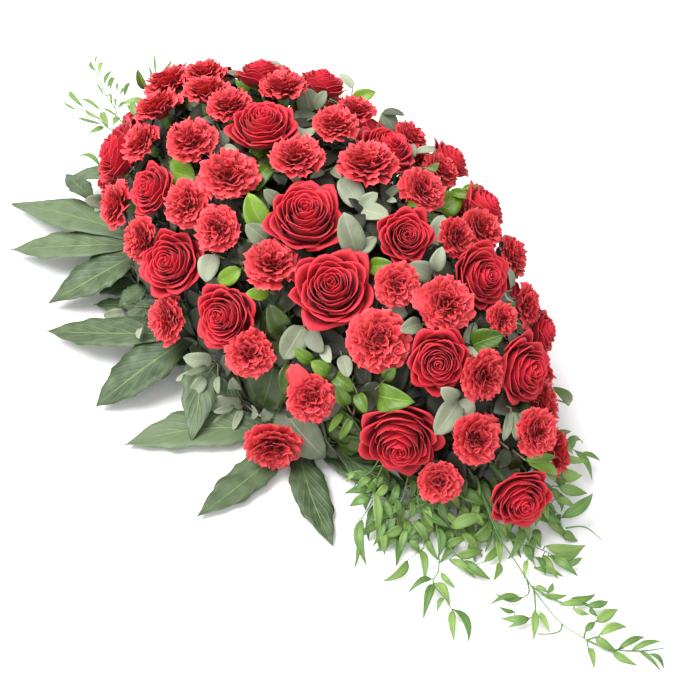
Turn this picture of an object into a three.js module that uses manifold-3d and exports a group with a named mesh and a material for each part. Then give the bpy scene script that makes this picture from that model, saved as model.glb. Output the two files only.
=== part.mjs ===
// A single-ended funeral spray: red roses and carnations with leaves, set in wet foam in a plastic tray.
// Millimetres, +Z up. +X runs along the spray to its thin trailing end, -Y is the side that shows most.
// The origin is the middle of the tray's flat underside.
import * as THREE from "three";
import { mergeVertices } from "three/addons/utils/BufferGeometryUtils.js";
import Module from "manifold-3d";

const wasm = await Module();
wasm.setup();

// Driving dimensions
const TRAY = { length: 470, width: 124, height: 40, wall: 2.4, flare: 6, corner: 26, lip: 4, lipDepth: 3 };
const STAND = { height: 0.8, inset: 10 };
const FOAM = { gap: 0.3, shoulder: 74, height: 88, chamfer: 13 };
const MOUND = { head: -385, crown: -110, tip: 395, halfWidth: 196, height: 240, foot: 40 };
const ROSE = { petals: 4, steps: 12, deep: 1.14, stem: 2.4, stemSides: 4 };
const CARNATION = { steps: 10, deep: 1.3, stem: 1.7, stemSides: 3 };
const SPRIG = { stem: 1.4, blade: 1.7 };
const RUSCUS = { stem: 1.2, blade: 1.5, leaf: 42, width: 13 };
const FATSIA = { blade: 0.9, petiole: 2.6, palm: 16 };
const CLEAR = 0.3;
const ROOT_DEPTH = 12;

// The photograph's viewpoint in this frame: places below are pixels of its 700 by 700 frame
const VIEW = {
  target: [80, -41, 70],
  distance: 1605,
  azimuth: 52.5,
  elevation: 44.5,
  focal: 1400,
  middle: 350,
};

// Roses that the photograph shows: x, y and width in pixels, then how far the face turns right and up.
// One that lies off the mound's surface has its height in millimetres at the end.
const SHOWN_ROSES = [
  [262, 121, 68, 0, 0.79],
  [304, 213, 78, 0, 0.5],
  [332, 287, 84, 0, 0.05],
  [169, 262, 68, -0.4, 0.1],
  [224, 318, 66, -0.45, -0.1],
  [407, 235, 58, 0.1, 0.1],
  [440, 362, 64, 0.1, 0],
  [402, 441, 86, -0.1, -0.55],
  [520, 500, 62, 0.3, -0.6],
  [523, 370, 72, 0.75, -0.1],
  [484, 276, 66, 0.6, 0.05],
  [387, 147, 62, 0.35, 0.7],
  [149, 187, 50, -0.55, 0.2],
  [117, 152, 64, -0.85, 0.3],
  [322, 82, 48, 0.2, 0.9],
  [455, 157, 44, 0.8, 0.5, 198],
  [489, 205, 50, 0.85, 0.35],
  [262, 73, 50, 0, 0.95],
  [545, 335, 46, 0.9, 0.1],
];
// Carnations that the photograph shows, in the same way
const SHOWN_CARNATIONS = {
  c01: [206, 73, 42, -0.1, 0.85],
  c02: [168, 86, 48, -0.5, 0.75],
  c03: [160, 105, 48, -0.5, 0.6],
  c05: [229, 104, 46, -0.1, 0.6],
  c06: [142, 142, 46, -0.6, 0.3],
  c07: [190, 140, 52, 0, 0.4],
  c08: [228, 173, 60, 0, 0.35],
  c09: [297, 157, 56, 0, 0.5],
  c10: [186, 203, 50, -0.4, 0.1],
  c11: [217, 228, 50, -0.1, 0.1],
  c12: [117, 205, 46, -0.85, 0.1],
  c13: [142, 238, 48, -0.6, 0],
  c14: [169, 319, 44, -0.6, -0.1],
  c15: [271, 264, 56, 0, 0.4],
  c16: [248, 352, 54, -0.1, -0.1],
  c17: [311, 398, 52, 0, -0.2],
  c18: [273, 446, 56, 0.05, -0.68, 44],
  c19: [379, 341, 66, 0, 0],
  c20: [397, 285, 50, 0, 0],
  c21: [447, 304, 58, 0.2, 0.2],
  c22: [367, 164, 58, 0, 0.65],
  c23: [335, 124, 48, 0, 0.7],
  c24: [360, 110, 40, 0.2, 0.8],
  c25: [283, 88, 48, 0, 0.8],
  c26: [206, 91, 46, 0, 0.8],
  c28: [423, 190, 50, 0.45, 0.2],
  c29: [453, 238, 44, 0.5, 0.2],
  c30: [481, 229, 44, 0.5, 0.3],
  c31: [513, 256, 40, 0.85, 0.3],
  c32: [527, 305, 42, 0.93, 0.1],
  c33: [503, 319, 38, 0.5, 0.1],
  c34: [486, 375, 50, 0.45, 0.1],
  c35: [478, 440, 54, 0.25, -0.2],
  c36: [438, 481, 44, 0, -0.2],
  c37: [537, 432, 48, 0.6, 0],
  c38: [410, 137, 36, 0.6, 0.6],
  c39: [442, 171, 38, 0.6, 0.5],
};
// Blooms on the far side: place along the mound, angle round it from the near foot, and radius.
// One that lies below the mound's surface has its depth at the end.
const FAR_ROSES = [
  [-338, 112, 35],
  [-262, 131, 37],
  [-120, 150, 37],
  [-20, 167, 36],
  [150, 167, 36],
  [-350, 52, 33],
];
const FAR_CARNATIONS = {
  f01: [-312, 84, 27],
  f02: [-366, 92, 25],
  f03: [-318, 148, 28],
  f04: [-200, 149, 27],
  f06: [-168, 172, 29],
  f07: [-62, 147, 28],
  f08: [32, 156, 28],
  f10: [200, 172, 27, 6],
  f11: [256, 150, 26, 12],
  f12: [306, 134, 25, 16],
  f13: [338, 160, 22, 14],
  f14: [-338, 22, 27],
  f15: [-292, 172, 28],
};
const CARNATION_STEMS = [
  ["c01", "c02", "c03", "f01"],
  ["c06", "c12", "c13", "f14"],
  ["c05", "c07", "c25", "c26"],
  ["c08", "c10", "c11", "c14"],
  ["c09", "c22", "c23", "c28"],
  ["c15", "c16", "c17", "c18"],
  ["c19", "c20", "c35", "c36"],
  ["c29", "c30", "c31", "c32"],
  ["c21", "c33", "c34", "c37"],
  ["f02", "f03", "f15"],
  ["f04", "f06", "f07", "c24"],
  ["f08", "c38", "c39"],
  ["f10", "f11", "f12", "f13"],
];

// Leaf clusters between the blooms: pixel of the leaf bases, then each leaf's tip pixel and width in pixels
const EUCALYPTUS = [
  [
    [187, 120, [[158, 108, 15]]],
    [222, 147, [[210, 150, 13], [227, 132, 13]]],
    [310, 113, [[304, 88, 24], [301, 142, 24]]],
    [382, 113, [[396, 133, 17]]],
  ],
  [
    [360, 208, [[341, 176, 24], [388, 214, 20], [377, 193, 15]]],
    [357, 255, [[344, 213, 26], [376, 237, 14]]],
    [332, 168, [[346, 176, 14]]],
    [270, 244, [[247, 226, 20]]],
  ],
  [
    [433, 276, [[442, 248, 16], [410, 264, 20]]],
    [432, 246, [[446, 219, 22]]],
    [405, 322, [[386, 312, 18]]],
  ],
  [
    [303, 326, [[284, 360, 27], [322, 351, 20]]],
    [336, 343, [[348, 377, 15]]],
    [214, 256, [[205, 281, 22]]],
    [215, 362, [[184, 354, 15], [217, 393, 10], [188, 396, 15]]],
    [148, 310, [[125, 304, 10], [138, 337, 9]]],
  ],
  [
    [459, 400, [[443, 390, 16], [472, 421, 19], [436, 434, 26]]],
    [512, 409, [[508, 441, 12], [545, 428, 18]]],
    [243, 402, [[209, 402, 22], [256, 417, 16]]],
    [300, 408, [[314, 446, 34]]],
  ],
];
const SALAL = [
  [
    [193, 180, [[163, 172, 27]]],
    [250, 162, [[281, 141, 22]]],
    [272, 165, [[254, 191, 18]]],
    [250, 90, [[234, 92, 14], [262, 78, 14]]],
    [146, 92, [[137, 71, 11]]],
  ],
  [
    [353, 102, [[374, 91, 14]]],
    [412, 165, [[434, 169, 17]]],
    [439, 213, [[462, 195, 25]]],
    [449, 192, [[479, 196, 11]]],
    [363, 272, [[392, 262, 18]]],
  ],
  [
    [270, 236, [[248, 194, 24]]],
    [246, 276, [[216, 283, 18]]],
    [287, 332, [[269, 306, 22]]],
    [289, 368, [[260, 409, 40]]],
    [322, 367, [[294, 349, 15], [353, 391, 16]]],
  ],
  [
    [371, 395, [[395, 369, 13], [410, 401, 27], [366, 414, 14]]],
    [353, 416, [[337, 388, 15]]],
    [470, 347, [[503, 335, 24]]],
    [525, 460, [[556, 457, 11], [560, 476, 13]]],
  ],
];
// Leaves of the far side, in the same sprigs: place along the mound, angle round it, turn and length
const FAR_LEAVES = {
  eucalyptus: [
    [[-150, 163, 30, 46], [-290, 118, 120, 44]],
    [[-70, 171, 200, 46]],
    [[118, 160, 20, 44]],
    [[-215, 172, 250, 46]],
    [[240, 160, 40, 44]],
  ],
  salal: [
    [[-205, 128, 40, 52], [-330, 70, 190, 48]],
    [[-90, 163, 20, 56], [60, 152, 150, 50]],
    [[-265, 158, 300, 54]],
    [[185, 150, 60, 50]],
  ],
};

// Palmate leaves round the foot: the middle of the leaf, its stalk's root in the foam, and the lobe tips
const FATSIA_LEAVES = [
  {
    root: [-170, -30, 54],
    middle: [-236, -112, 52],
    tips: [[-467, -196, 12], [-383, -243, 12], [-262, -252, 12]],
  },
  {
    root: [-40, -30, 54],
    middle: [-69, -152, 48],
    tips: [[-219, -280, 12], [-75, -294, 8], [40, -236, 10]],
  },
  {
    root: [90, -30, 76],
    middle: [103, -136, 9],
    tips: [[-5, -298, 6], [132, -289, 6], [252, -196, 6], [250, -104, 8]],
  },
  {
    root: [-205, 10, 54],
    middle: [-322, 12, 60],
    tips: [[-390, 158, 10], [-478, 40, 10], [-454, -112, 26]],
  },
  {
    root: [-110, 32, 54],
    middle: [-150, 150, 48],
    tips: [[-48, 268, 8], [-160, 290, 8], [-275, 262, 8]],
  },
  {
    root: [60, 32, 54],
    middle: [40, 146, 46],
    tips: [[128, 176, 10], [34, 246, 8], [-72, 258, 8]],
  },
];
// A lobe's outline from the palm to its tip: share of its length, and of its half-width
const LOBE = [
  [0.28, 0.66],
  [0.5, 1],
  [0.54, 0.82],
  [0.74, 0.78],
  [0.78, 0.58],
  [1, 0],
];
const LOBE_SHARE = 0.135;

// Ruscus: each sprig's branches as points of the photograph with their height, or places in the frame
const RUSCUS_SPRIGS = [
  {
    foot: [212, -14, 60],
    branches: [
      {
        shown: [[498, 532, 30], [510, 552, 14], [537, 591, 8], [560, 622, 7], [592, 643, 6], [638, 651, 6]],
        leaves: 12,
      },
      { shown: [[524, 500, 34], [548, 560, 16], [574, 560, 10]], leaves: 6 },
    ],
  },
  {
    foot: [196, -28, 58],
    branches: [
      { shown: [[436, 512, 26], [438, 560, 10], [451, 602, 8], [466, 634, 8]], leaves: 8 },
      { shown: [[404, 494, 26], [388, 524, 14], [364, 560, 10]], leaves: 5 },
      { shown: [[470, 520, 24], [480, 556, 12], [494, 578, 8]], leaves: 5 },
    ],
  },
  {
    foot: [214, 14, 60],
    branches: [
      { shown: [[566, 428, 50], [580, 450, 36], [602, 472, 24]], leaves: 5 },
      { shown: [[560, 480, 44], [580, 500, 24], [604, 530, 10]], leaves: 5 },
      { places: [[285, 50, 64], [312, 72, 40], [330, 92, 24]], leaves: 5 },
    ],
  },
  {
    foot: [-212, 12, 62],
    branches: [
      { shown: [[132, 118], [104, 100, 150], [70, 88, 140]], leaves: 5 },
      { shown: [[116, 104, 162], [104, 80, 184], [94, 60, 190]], leaves: 5 },
      { places: [[-340, 96, 70], [-400, 120, 40], [-450, 138, 16]], leaves: 5 },
    ],
  },
];

// Directions of the view
const azimuth = THREE.MathUtils.degToRad(VIEW.azimuth);
const elevation = THREE.MathUtils.degToRad(VIEW.elevation);
const toViewer = new THREE.Vector3(
  Math.sin(azimuth) * Math.cos(elevation),
  -Math.cos(azimuth) * Math.cos(elevation),
  Math.sin(elevation),
);
const viewRight = new THREE.Vector3(Math.cos(azimuth), Math.sin(azimuth), 0);
const viewUp = new THREE.Vector3().crossVectors(toViewer, viewRight);
const viewer = new THREE.Vector3(...VIEW.target).addScaledVector(toViewer, VIEW.distance);
const UP = new THREE.Vector3(0, 0, 1);

function sightLine(px, py) {
  const direction = toViewer.clone().negate();
  direction.addScaledVector(viewRight, (px - VIEW.middle) / VIEW.focal);
  direction.addScaledVector(viewUp, -(py - VIEW.middle) / VIEW.focal);
  return new THREE.Ray(viewer, direction.normalize());
}

// The point at a given height that a pixel shows
function onLevel(px, py, height) {
  const ray = sightLine(px, py);
  return ray.at((height - viewer.z) / ray.direction.z, new THREE.Vector3());
}

// How wide the mound is at x, as a share of its greatest width
function taper(x) {
  if (x <= MOUND.crown) {
    const share = Math.min(1, (MOUND.crown - x) / (MOUND.crown - MOUND.head));
    return Math.sqrt(1 - share ** 2.2);
  }
  const share = Math.min(1, (x - MOUND.crown) / (MOUND.tip - MOUND.crown));
  return (1 - share ** 2.2) ** 0.8;
}

// Half-width and height of the mound's section at x, drawn in by a depth below the bloom faces
function section(x, depth = 0) {
  const share = taper(x);
  return {
    width: Math.max(4, MOUND.halfWidth * share - depth),
    height: Math.max(4, MOUND.height * share ** 0.75 - depth),
  };
}

// Below 1 inside the mound, 1 on its surface
function moundValue(point, depth = 0) {
  if (point.x <= MOUND.head + 1 || point.x >= MOUND.tip - 1) return 30 + Math.abs(point.x);
  const { width, height } = section(point.x, depth);
  return (point.y / width) ** 2 + ((point.z - MOUND.foot) / height) ** 2;
}

function moundNormal(point) {
  const reach = 2;
  const slope = (axis) => {
    const step = new THREE.Vector3().setComponent(axis, reach);
    return moundValue(point.clone().add(step)) - moundValue(point.clone().sub(step));
  };
  return new THREE.Vector3(slope(0), slope(1), slope(2)).normalize();
}

// The point of the mound that a pixel shows, or the nearest to it where the pixel lies just outside
function onMound(px, py, depth = 0) {
  const ray = sightLine(px, py);
  const point = new THREE.Vector3();
  let nearest = { value: Infinity, far: 0 };
  for (let far = 900; far < 2500; far += 4) {
    const value = moundValue(ray.at(far, point), depth);
    if (value < nearest.value) nearest = { value, far };
    if (value < 1) break;
  }
  if (nearest.value >= 1) return ray.at(nearest.far, point).clone();
  let [outside, inside] = [nearest.far - 4, nearest.far];
  for (let i = 0; i < 16; i += 1) {
    const middle = (outside + inside) / 2;
    if (moundValue(ray.at(middle, point), depth) < 1) inside = middle;
    else outside = middle;
  }
  return ray.at(inside, point).clone();
}

// A place on the mound by its length along it and its angle round it
function roundMound(x, degrees, depth = 0) {
  const { width, height } = section(x, depth);
  const angle = THREE.MathUtils.degToRad(degrees);
  return new THREE.Vector3(x, -width * Math.cos(angle), MOUND.foot + height * Math.sin(angle));
}

// Seeded random numbers from 0 to 1
function randomSource(seed) {
  let state = seed;
  return () => {
    state = (state * 1664525 + 1013904223) % 4294967296;
    return state / 4294967296;
  };
}

// Closed solids
function solidOf(geometry) {
  geometry.deleteAttribute("normal");
  geometry.deleteAttribute("uv");
  const merged = mergeVertices(geometry, 1e-4);
  const build = (triVerts) =>
    new wasm.Manifold(
      new wasm.Mesh({
        numProp: 3,
        vertProperties: Float32Array.from(merged.attributes.position.array),
        triVerts,
      }),
    );
  const faces = [];
  for (let i = 0; i < merged.index.count; i += 3) {
    const [a, b, c] = merged.index.array.slice(i, i + 3);
    if (a !== b && b !== c && c !== a) faces.push([a, b, c]);
  }
  const made = build(Uint32Array.from(faces.flat()));
  return made.volume() > 0 ? made : build(Uint32Array.from(faces.flatMap(([a, b, c]) => [a, c, b])));
}

// The part of a solid that holds together, without loose scraps
function largest(body) {
  const pieces = body.decompose();
  return pieces.reduce((best, piece) => (piece.volume() > best.volume() ? piece : best));
}

function joined(solids) {
  return solids.reduce((whole, piece) => whole.add(piece));
}

const funeralSpray = new THREE.Group();

function addNode(name, body, look) {
  const { vertProperties, triVerts } = body.getMesh();
  const geometry = new THREE.BufferGeometry();
  geometry.setAttribute("position", new THREE.BufferAttribute(vertProperties, 3));
  geometry.setIndex(new THREE.BufferAttribute(triVerts, 1));
  geometry.computeVertexNormals();
  const mesh = new THREE.Mesh(geometry, new THREE.MeshStandardMaterial(look));
  mesh.name = name;
  funeralSpray.add(mesh);
}

// The knot in which stems and leaf stalks meet
function knot(point, radius) {
  return solidOf(new THREE.OctahedronGeometry(radius, 0).translate(...point));
}

// A straight stem with a few flat sides between two points
function stemBetween(from, to, radius, sides = 4) {
  const along = to.clone().sub(from);
  const geometry = new THREE.CylinderGeometry(radius, radius, along.length(), sides, 1);
  geometry.applyQuaternion(new THREE.Quaternion().setFromUnitVectors(
    new THREE.Vector3(0, 1, 0),
    along.clone().normalize(),
  ));
  const middle = from.clone().add(to).multiplyScalar(0.5);
  return solidOf(geometry.translate(middle.x, middle.y, middle.z));
}

// A path of straight legs through its points
class LeggedPath extends THREE.Curve {
  constructor(points) {
    super();
    this.points = points;
  }

  getPoint(t, target = new THREE.Vector3()) {
    const place = t * (this.points.length - 1);
    const leg = Math.min(Math.floor(place), this.points.length - 2);
    return target.lerpVectors(this.points[leg], this.points[leg + 1], place - leg);
  }

  getUtoTmapping(u) {
    return u;
  }
}

// A three-sided stem along straight legs
function bentStem(points, radius) {
  const outline = new THREE.Shape();
  for (let i = 0; i < 3; i += 1) {
    const angle = (i / 3) * 2 * Math.PI;
    const corner = [radius * Math.cos(angle), radius * Math.sin(angle)];
    if (i === 0) outline.moveTo(...corner);
    else outline.lineTo(...corner);
  }
  const extrudePath = new LeggedPath(points);
  return solidOf(new THREE.ExtrudeGeometry(outline, {
    steps: points.length - 1,
    bevelEnabled: false,
    extrudePath,
  }));
}

// A twig through two or three points, its end a little past the last one
function twig(points, radius) {
  const [before, last] = points.slice(-2);
  const end = last.clone().addScaledVector(last.clone().sub(before).normalize(), 2 * radius);
  const path = [...points.slice(0, -1), end];
  return path.length === 2 ? stemBetween(...path, radius, 3) : bentStem(path, radius);
}

// Where a stem that ends at a point of the mound stands in the foam
function footOf(point) {
  return new THREE.Vector3(point.x * 0.52, point.y * 0.24, 54 + (point.z - 40) * 0.04);
}

// How far behind the face the middle of a bloom's bulk lies, as a share of its radius
const BULK = 0.28;

// Blooms: the face's middle, the way it faces and its radius. The pixel shows the middle of the bulk.
function shownBloom([px, py, pixels, right, up, height]) {
  const face = height ? onLevel(px, py, height) : onMound(px, py);
  const axis = toViewer.clone().multiplyScalar(Math.sqrt(1 - right ** 2 - up ** 2));
  axis.addScaledVector(viewRight, right).addScaledVector(viewUp, up);
  const away = viewer.clone().sub(face).dot(toViewer);
  const radius = (pixels * away) / VIEW.focal / 2;
  face.addScaledVector(viewRight, right * BULK * radius).addScaledVector(viewUp, up * BULK * radius);
  return { face, axis: axis.normalize(), radius };
}

function farBloom([x, degrees, radius, depth = 0]) {
  const axis = moundNormal(roundMound(x, degrees));
  return { face: roundMound(x, degrees, depth), axis, radius };
}

const roses = [...SHOWN_ROSES.map(shownBloom), ...FAR_ROSES.map(farBloom)];
const carnations = {};
for (const [name, place] of Object.entries(SHOWN_CARNATIONS)) carnations[name] = shownBloom(place);
for (const [name, place] of Object.entries(FAR_CARNATIONS)) carnations[name] = farBloom(place);
for (const rose of roses) rose.kind = ROSE;
for (const carnation of Object.values(carnations)) carnation.kind = CARNATION;
const blooms = [...roses, ...Object.values(carnations)];

// Blooms that would stand in each other are moved apart a little
function settleBlooms() {
  const press = 0.86;
  const most = 9;
  for (const bloom of blooms) bloom.start = bloom.face.clone();
  for (let round = 0; round < 30; round += 1) {
    blooms.forEach((a, i) => {
      blooms.slice(i + 1).forEach((b) => {
        const apart = b.face.clone().sub(a.face);
        const short = press * (a.radius + b.radius) - apart.length();
        if (short <= 0) return;
        apart.setLength(short * 0.25);
        a.face.sub(apart);
        b.face.add(apart);
      });
    });
    for (const bloom of blooms) {
      const moved = bloom.face.clone().sub(bloom.start).clampLength(0, most);
      bloom.face.copy(bloom.start).add(moved);
    }
  }
  for (const bloom of blooms) {
    bloom.base = bloom.face.clone().addScaledVector(bloom.axis, -bloom.kind.deep * bloom.radius);
    bloom.heart = bloom.face.clone().addScaledVector(bloom.axis, -0.35 * bloom.radius);
  }
}
settleBlooms();

// The planes that part a bloom from its neighbours, each with its outward direction
function partings(bloom) {
  const planes = [];
  for (const other of blooms) {
    if (other === bloom) continue;
    const across = other.heart.clone().sub(bloom.heart);
    const distance = across.length();
    if (distance > 1.25 * (bloom.radius + other.radius)) continue;
    const share = (distance ** 2 + bloom.radius ** 2 - other.radius ** 2) / (2 * distance ** 2);
    const reach = distance * THREE.MathUtils.clamp(share, 0.36, 0.64) - CLEAR / 2;
    const normal = across.normalize();
    planes.push(new THREE.Plane(normal, -normal.dot(bloom.heart) - reach));
  }
  return planes;
}

// A bloom and its stem turned on one lathe: the rims are drawn into petals and pressed in where
// neighbours touch them, and the lowest rings are drawn together into a stem with a few sides.
// A profile row is radius, height, swing of the radius, lift of the petal tips, turn in steps, and
// the number of corners where it has fewer than the steps.
function bloomOnStem(bloom, stemEnd, profile, petalForm) {
  const { steps, stem, stemSides } = bloom.kind;
  const side = new THREE.Vector3().crossVectors(Math.abs(bloom.axis.z) < 0.9 ? UP : viewRight, bloom.axis);
  side.normalize();
  const cornerOf = (step, corners) => Math.floor((step * corners) / steps);
  const outwardAt = (step, corners) => {
    const angle = (cornerOf(step, corners) / corners) * 2 * Math.PI;
    return side.clone().applyAxisAngle(bloom.axis, angle + bloom.turn);
  };
  const rings = Array.from({ length: steps }, (_, step) => (
    profile.map(([radius, height, swing, lift, shift, corners = steps]) => {
      const wave = petalForm((step + shift) % steps);
      return {
        corners,
        outward: outwardAt(step, corners),
        foot: bloom.base.clone().addScaledVector(bloom.axis, (height + lift * wave) * bloom.radius),
        reach: radius * (1 + swing * wave) * bloom.radius,
      };
    })
  ));
  const planes = partings(bloom);
  const presses = rings.map((ring) => {
    let press = 1;
    for (const plane of planes) {
      for (const { outward, foot, reach } of ring) {
        const lean = plane.normal.dot(outward);
        if (lean * reach > 1e-6) press = Math.min(press, -plane.distanceToPoint(foot) / (lean * reach));
      }
    }
    return Math.max(press, 0.3);
  });
  const pressAt = (step, corners) => (
    Math.min(...presses.filter((_, other) => cornerOf(other, corners) === cornerOf(step, corners)))
  );
  const along = bloom.base.clone().sub(stemEnd).normalize();
  const rows = profile.length + 3;
  const geometry = new THREE.LatheGeometry(Array.from({ length: rows }, () => new THREE.Vector2()), steps);
  for (let segment = 0; segment <= steps; segment += 1) {
    const step = segment % steps;
    const square = outwardAt(step, stemSides).projectOnPlane(along).setLength(stem);
    const points = [stemEnd, stemEnd.clone().add(square), bloom.base.clone().add(square)];
    for (const { corners, outward, foot, reach } of rings[step]) {
      points.push(foot.clone().addScaledVector(outward, reach * pressAt(step, corners)));
    }
    points.forEach((point, row) => geometry.attributes.position.setXYZ(segment * rows + row, ...point));
  }
  return solidOf(geometry);
}

const ROSE_PROFILE = [
  [0.6, 0.36, 0, 0, 0, 6],
  [1, 0.86, 0.1, -0.1, 0],
  [0.72, 0.82, 0, 0, 0, 6],
  [0.76, 1.06, 0.12, -0.05, 2],
  [0.46, 0.96, 0, 0, 0, 6],
  [0.46, 1.18, 0.14, -0.03, 1],
  [0.2, 1.06, 0, 0, 0, 6],
  [0, 1.24, 0, 0, 0],
];
const CARNATION_PROFILE = [
  [0.25, 0.62, 0, 0, 0, 5],
  [1, 1.08, 0.13, -0.08, 0],
  [0.66, 1.06, 0, 0, 0, 5],
  [0.62, 1.36, 0.18, 0.06, 1],
  [0, 1.24, 0, 0, 0],
];

// A petal rises along its edge and drops where the next one covers it
function rosePetal(step) {
  return [0.55, 0.75, -1][step % (ROSE.steps / ROSE.petals)];
}

function carnationFrill(step) {
  return step % 2 === 0 ? 1 : -1;
}

// The outline that leaves and stems keep clear of round a bloom: radius and height, as shares of its radius
const ROSE_HULL = [
  [0, -0.03],
  [0.26, 0.04],
  [0.72, 0.36],
  [1.1, 0.72],
  [1.12, 0.98],
  [0.72, 1.26],
  [0, 1.4],
];
const CARNATION_HULL = [
  [0, -0.03],
  [0.2, 0.08],
  [0.36, 0.6],
  [1.08, 0.92],
  [1.14, 1.16],
  [0.72, 1.5],
  [0, 1.55],
];

function hullOf(bloom) {
  return bloom.kind === ROSE ? ROSE_HULL : CARNATION_HULL;
}

function bloomHull(bloom) {
  const corners = hullOf(bloom).map(([radius, height]) => (
    new THREE.Vector2(radius * bloom.radius * 1.11, height * bloom.radius)
  ));
  const geometry = new THREE.LatheGeometry(corners, 8);
  const turn = new THREE.Quaternion().setFromUnitVectors(new THREE.Vector3(0, 1, 0), bloom.axis);
  geometry.applyQuaternion(turn).translate(bloom.base.x, bloom.base.y, bloom.base.z);
  return solidOf(geometry);
}

// How far a point lies outside a bloom's outline, less than 0 inside it
function gapToBloom(point, bloom) {
  const from = point.clone().sub(bloom.base);
  const height = from.dot(bloom.axis) / bloom.radius;
  const outline = hullOf(bloom);
  const row = outline.findIndex(([, level]) => level > height);
  if (row < 1) return Infinity;
  const [[r0, h0], [r1, h1]] = [outline[row - 1], outline[row]];
  const reach = r0 + ((r1 - r0) * (height - h0)) / (h1 - h0);
  const off = Math.sqrt(Math.max(0, from.lengthSq() - (height * bloom.radius) ** 2));
  return off - reach * bloom.radius;
}

const lines = [];

// The least gap between a straight stem and those that stand already
function gapToLines(from, to, radius) {
  let least = Infinity;
  const a = to.clone().sub(from);
  for (const line of lines) {
    const b = line.to.clone().sub(line.from);
    const c = from.clone().sub(line.from);
    const [aa, bb, ab, ac, bc] = [a.dot(a), b.dot(b), a.dot(b), a.dot(c), b.dot(c)];
    const spread = aa * bb - ab * ab;
    let s = spread > 1e-9 ? THREE.MathUtils.clamp((ab * bc - ac * bb) / spread, 0, 1) : 0;
    const t = THREE.MathUtils.clamp((ab * s + bc) / bb, 0, 1);
    s = THREE.MathUtils.clamp((ab * t - ac) / aa, 0, 1);
    const apart = c.addScaledVector(a, s).addScaledVector(b, -t);
    least = Math.min(least, apart.length() - 1.42 * (radius + line.radius));
  }
  return least;
}

// The least gap between a straight stem and the blooms that it doesn't carry
function gapToBlooms(from, to, radius, own) {
  let least = Infinity;
  const samples = Math.ceil(from.distanceTo(to) / 5);
  const point = new THREE.Vector3();
  for (let i = 0; i <= samples; i += 1) {
    point.lerpVectors(from, to, i / samples);
    for (const bloom of blooms) {
      if (own.includes(bloom) || point.distanceToSquared(bloom.heart) > 9000) continue;
      least = Math.min(least, gapToBloom(point, bloom) - 1.42 * radius);
    }
  }
  return least;
}

// A foot in the foam, and a fork if the stem has several ends, with every branch clear of what stands
function findRoute(ends, radius, own, random) {
  const middle = ends.reduce((sum, end) => sum.add(end), new THREE.Vector3()).divideScalar(ends.length);
  let best = { gap: -Infinity };
  for (let trial = 0; trial < 700 && best.gap < 1; trial += 1) {
    const loose = trial / 10;
    const draw = () => (random() - 0.5) * loose;
    const shake = () => new THREE.Vector3(draw(), draw(), draw());
    const foot = footOf(middle).add(shake().multiply(new THREE.Vector3(1, 0.6, 0.2)));
    foot.x = THREE.MathUtils.clamp(foot.x, -214, 214);
    foot.y = THREE.MathUtils.clamp(foot.y, -40, 40);
    const fork = foot.clone().lerp(middle, 0.3 + 0.4 * random()).add(shake());
    fork.z = Math.max(fork.z, FOAM.height + 8);
    const forked = [[foot, fork], ...ends.map((end) => [fork, end])];
    const branches = ends.length === 1 ? [[foot, ends[0]]] : forked;
    let gap = Infinity;
    for (const [from, to] of branches) {
      gap = Math.min(gap, gapToLines(from, to, radius), gapToBlooms(from, to, radius, own));
      if (from === fork) gap = Math.min(gap, gapToTrough(from, to, radius));
      if (gap < best.gap) break;
    }
    if (gap > best.gap) best = { gap, foot, fork };
  }
  return best;
}

const holes = [];

// Sinks a stem's foot into the foam, which gets a plain hole with a few sides for it
function sunkEnd(foot, from, radius, sides) {
  const down = foot.clone().sub(from).normalize();
  const end = foot.clone().addScaledVector(down, ROOT_DEPTH);
  const mouth = foot.clone().addScaledVector(down, -FOAM.height);
  const bottom = end.clone().addScaledVector(down, 2 * CLEAR);
  holes.push(stemBetween(bottom, mouth, radius, sides));
  return end;
}

const LOOKS = {
  rose: { color: 0x9c0f1c, roughness: 0.62, metalness: 0 },
  carnation: { color: 0xd8323a, roughness: 0.7, metalness: 0 },
  fatsia: { color: 0x2f5a34, roughness: 0.4, metalness: 0 },
  eucalyptus: { color: 0x9fb09a, roughness: 0.6, metalness: 0 },
  salal: { color: 0x4f8a23, roughness: 0.35, metalness: 0 },
  ruscus: { color: 0x4c8a3c, roughness: 0.4, metalness: 0 },
  foam: { color: 0x1f5c38, roughness: 0.95, metalness: 0 },
  tray: { color: 0x16241b, roughness: 0.5, metalness: 0 },
};

const numbered = (name, index) => `${name}_${String(index + 1).padStart(2, "0")}`;

// Roses, one node each
const random = randomSource(11);
for (const bloom of blooms) bloom.turn = random() * 2 * Math.PI;
roses.forEach((rose, index) => {
  const { foot } = findRoute([rose.base], ROSE.stem, [rose], randomSource(40 + index));
  const end = sunkEnd(foot, rose.base, (ROSE.stem + CLEAR) * Math.SQRT2, 4);
  lines.push({ from: end, to: rose.base, radius: ROSE.stem });
  addNode(numbered("rose", index), bloomOnStem(rose, end, ROSE_PROFILE, rosePetal), LOOKS.rose);
});

// Carnations, three or four heads to a forked stem
CARNATION_STEMS.forEach((names, index) => {
  const heads = names.map((name) => carnations[name]);
  const bases = heads.map((head) => head.base);
  const { foot, fork } = findRoute(bases, CARNATION.stem, heads, randomSource(100 + index));
  const thick = CARNATION.stem * 1.3;
  const end = sunkEnd(foot, fork, thick + 2 * CLEAR, 3);
  const pieces = [knot(fork, 3 * CARNATION.stem), stemBetween(end, fork, thick, 3)];
  lines.push({ from: end, to: fork, radius: thick });
  for (const head of heads) {
    const start = fork.clone().addScaledVector(head.base.clone().sub(fork).normalize(), CARNATION.stem);
    lines.push({ from: fork, to: head.base, radius: CARNATION.stem });
    pieces.push(bloomOnStem(head, start, CARNATION_PROFILE, carnationFrill));
  }
  addNode(numbered("carnation_spray", index), joined(pieces), LOOKS.carnation);
});

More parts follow.
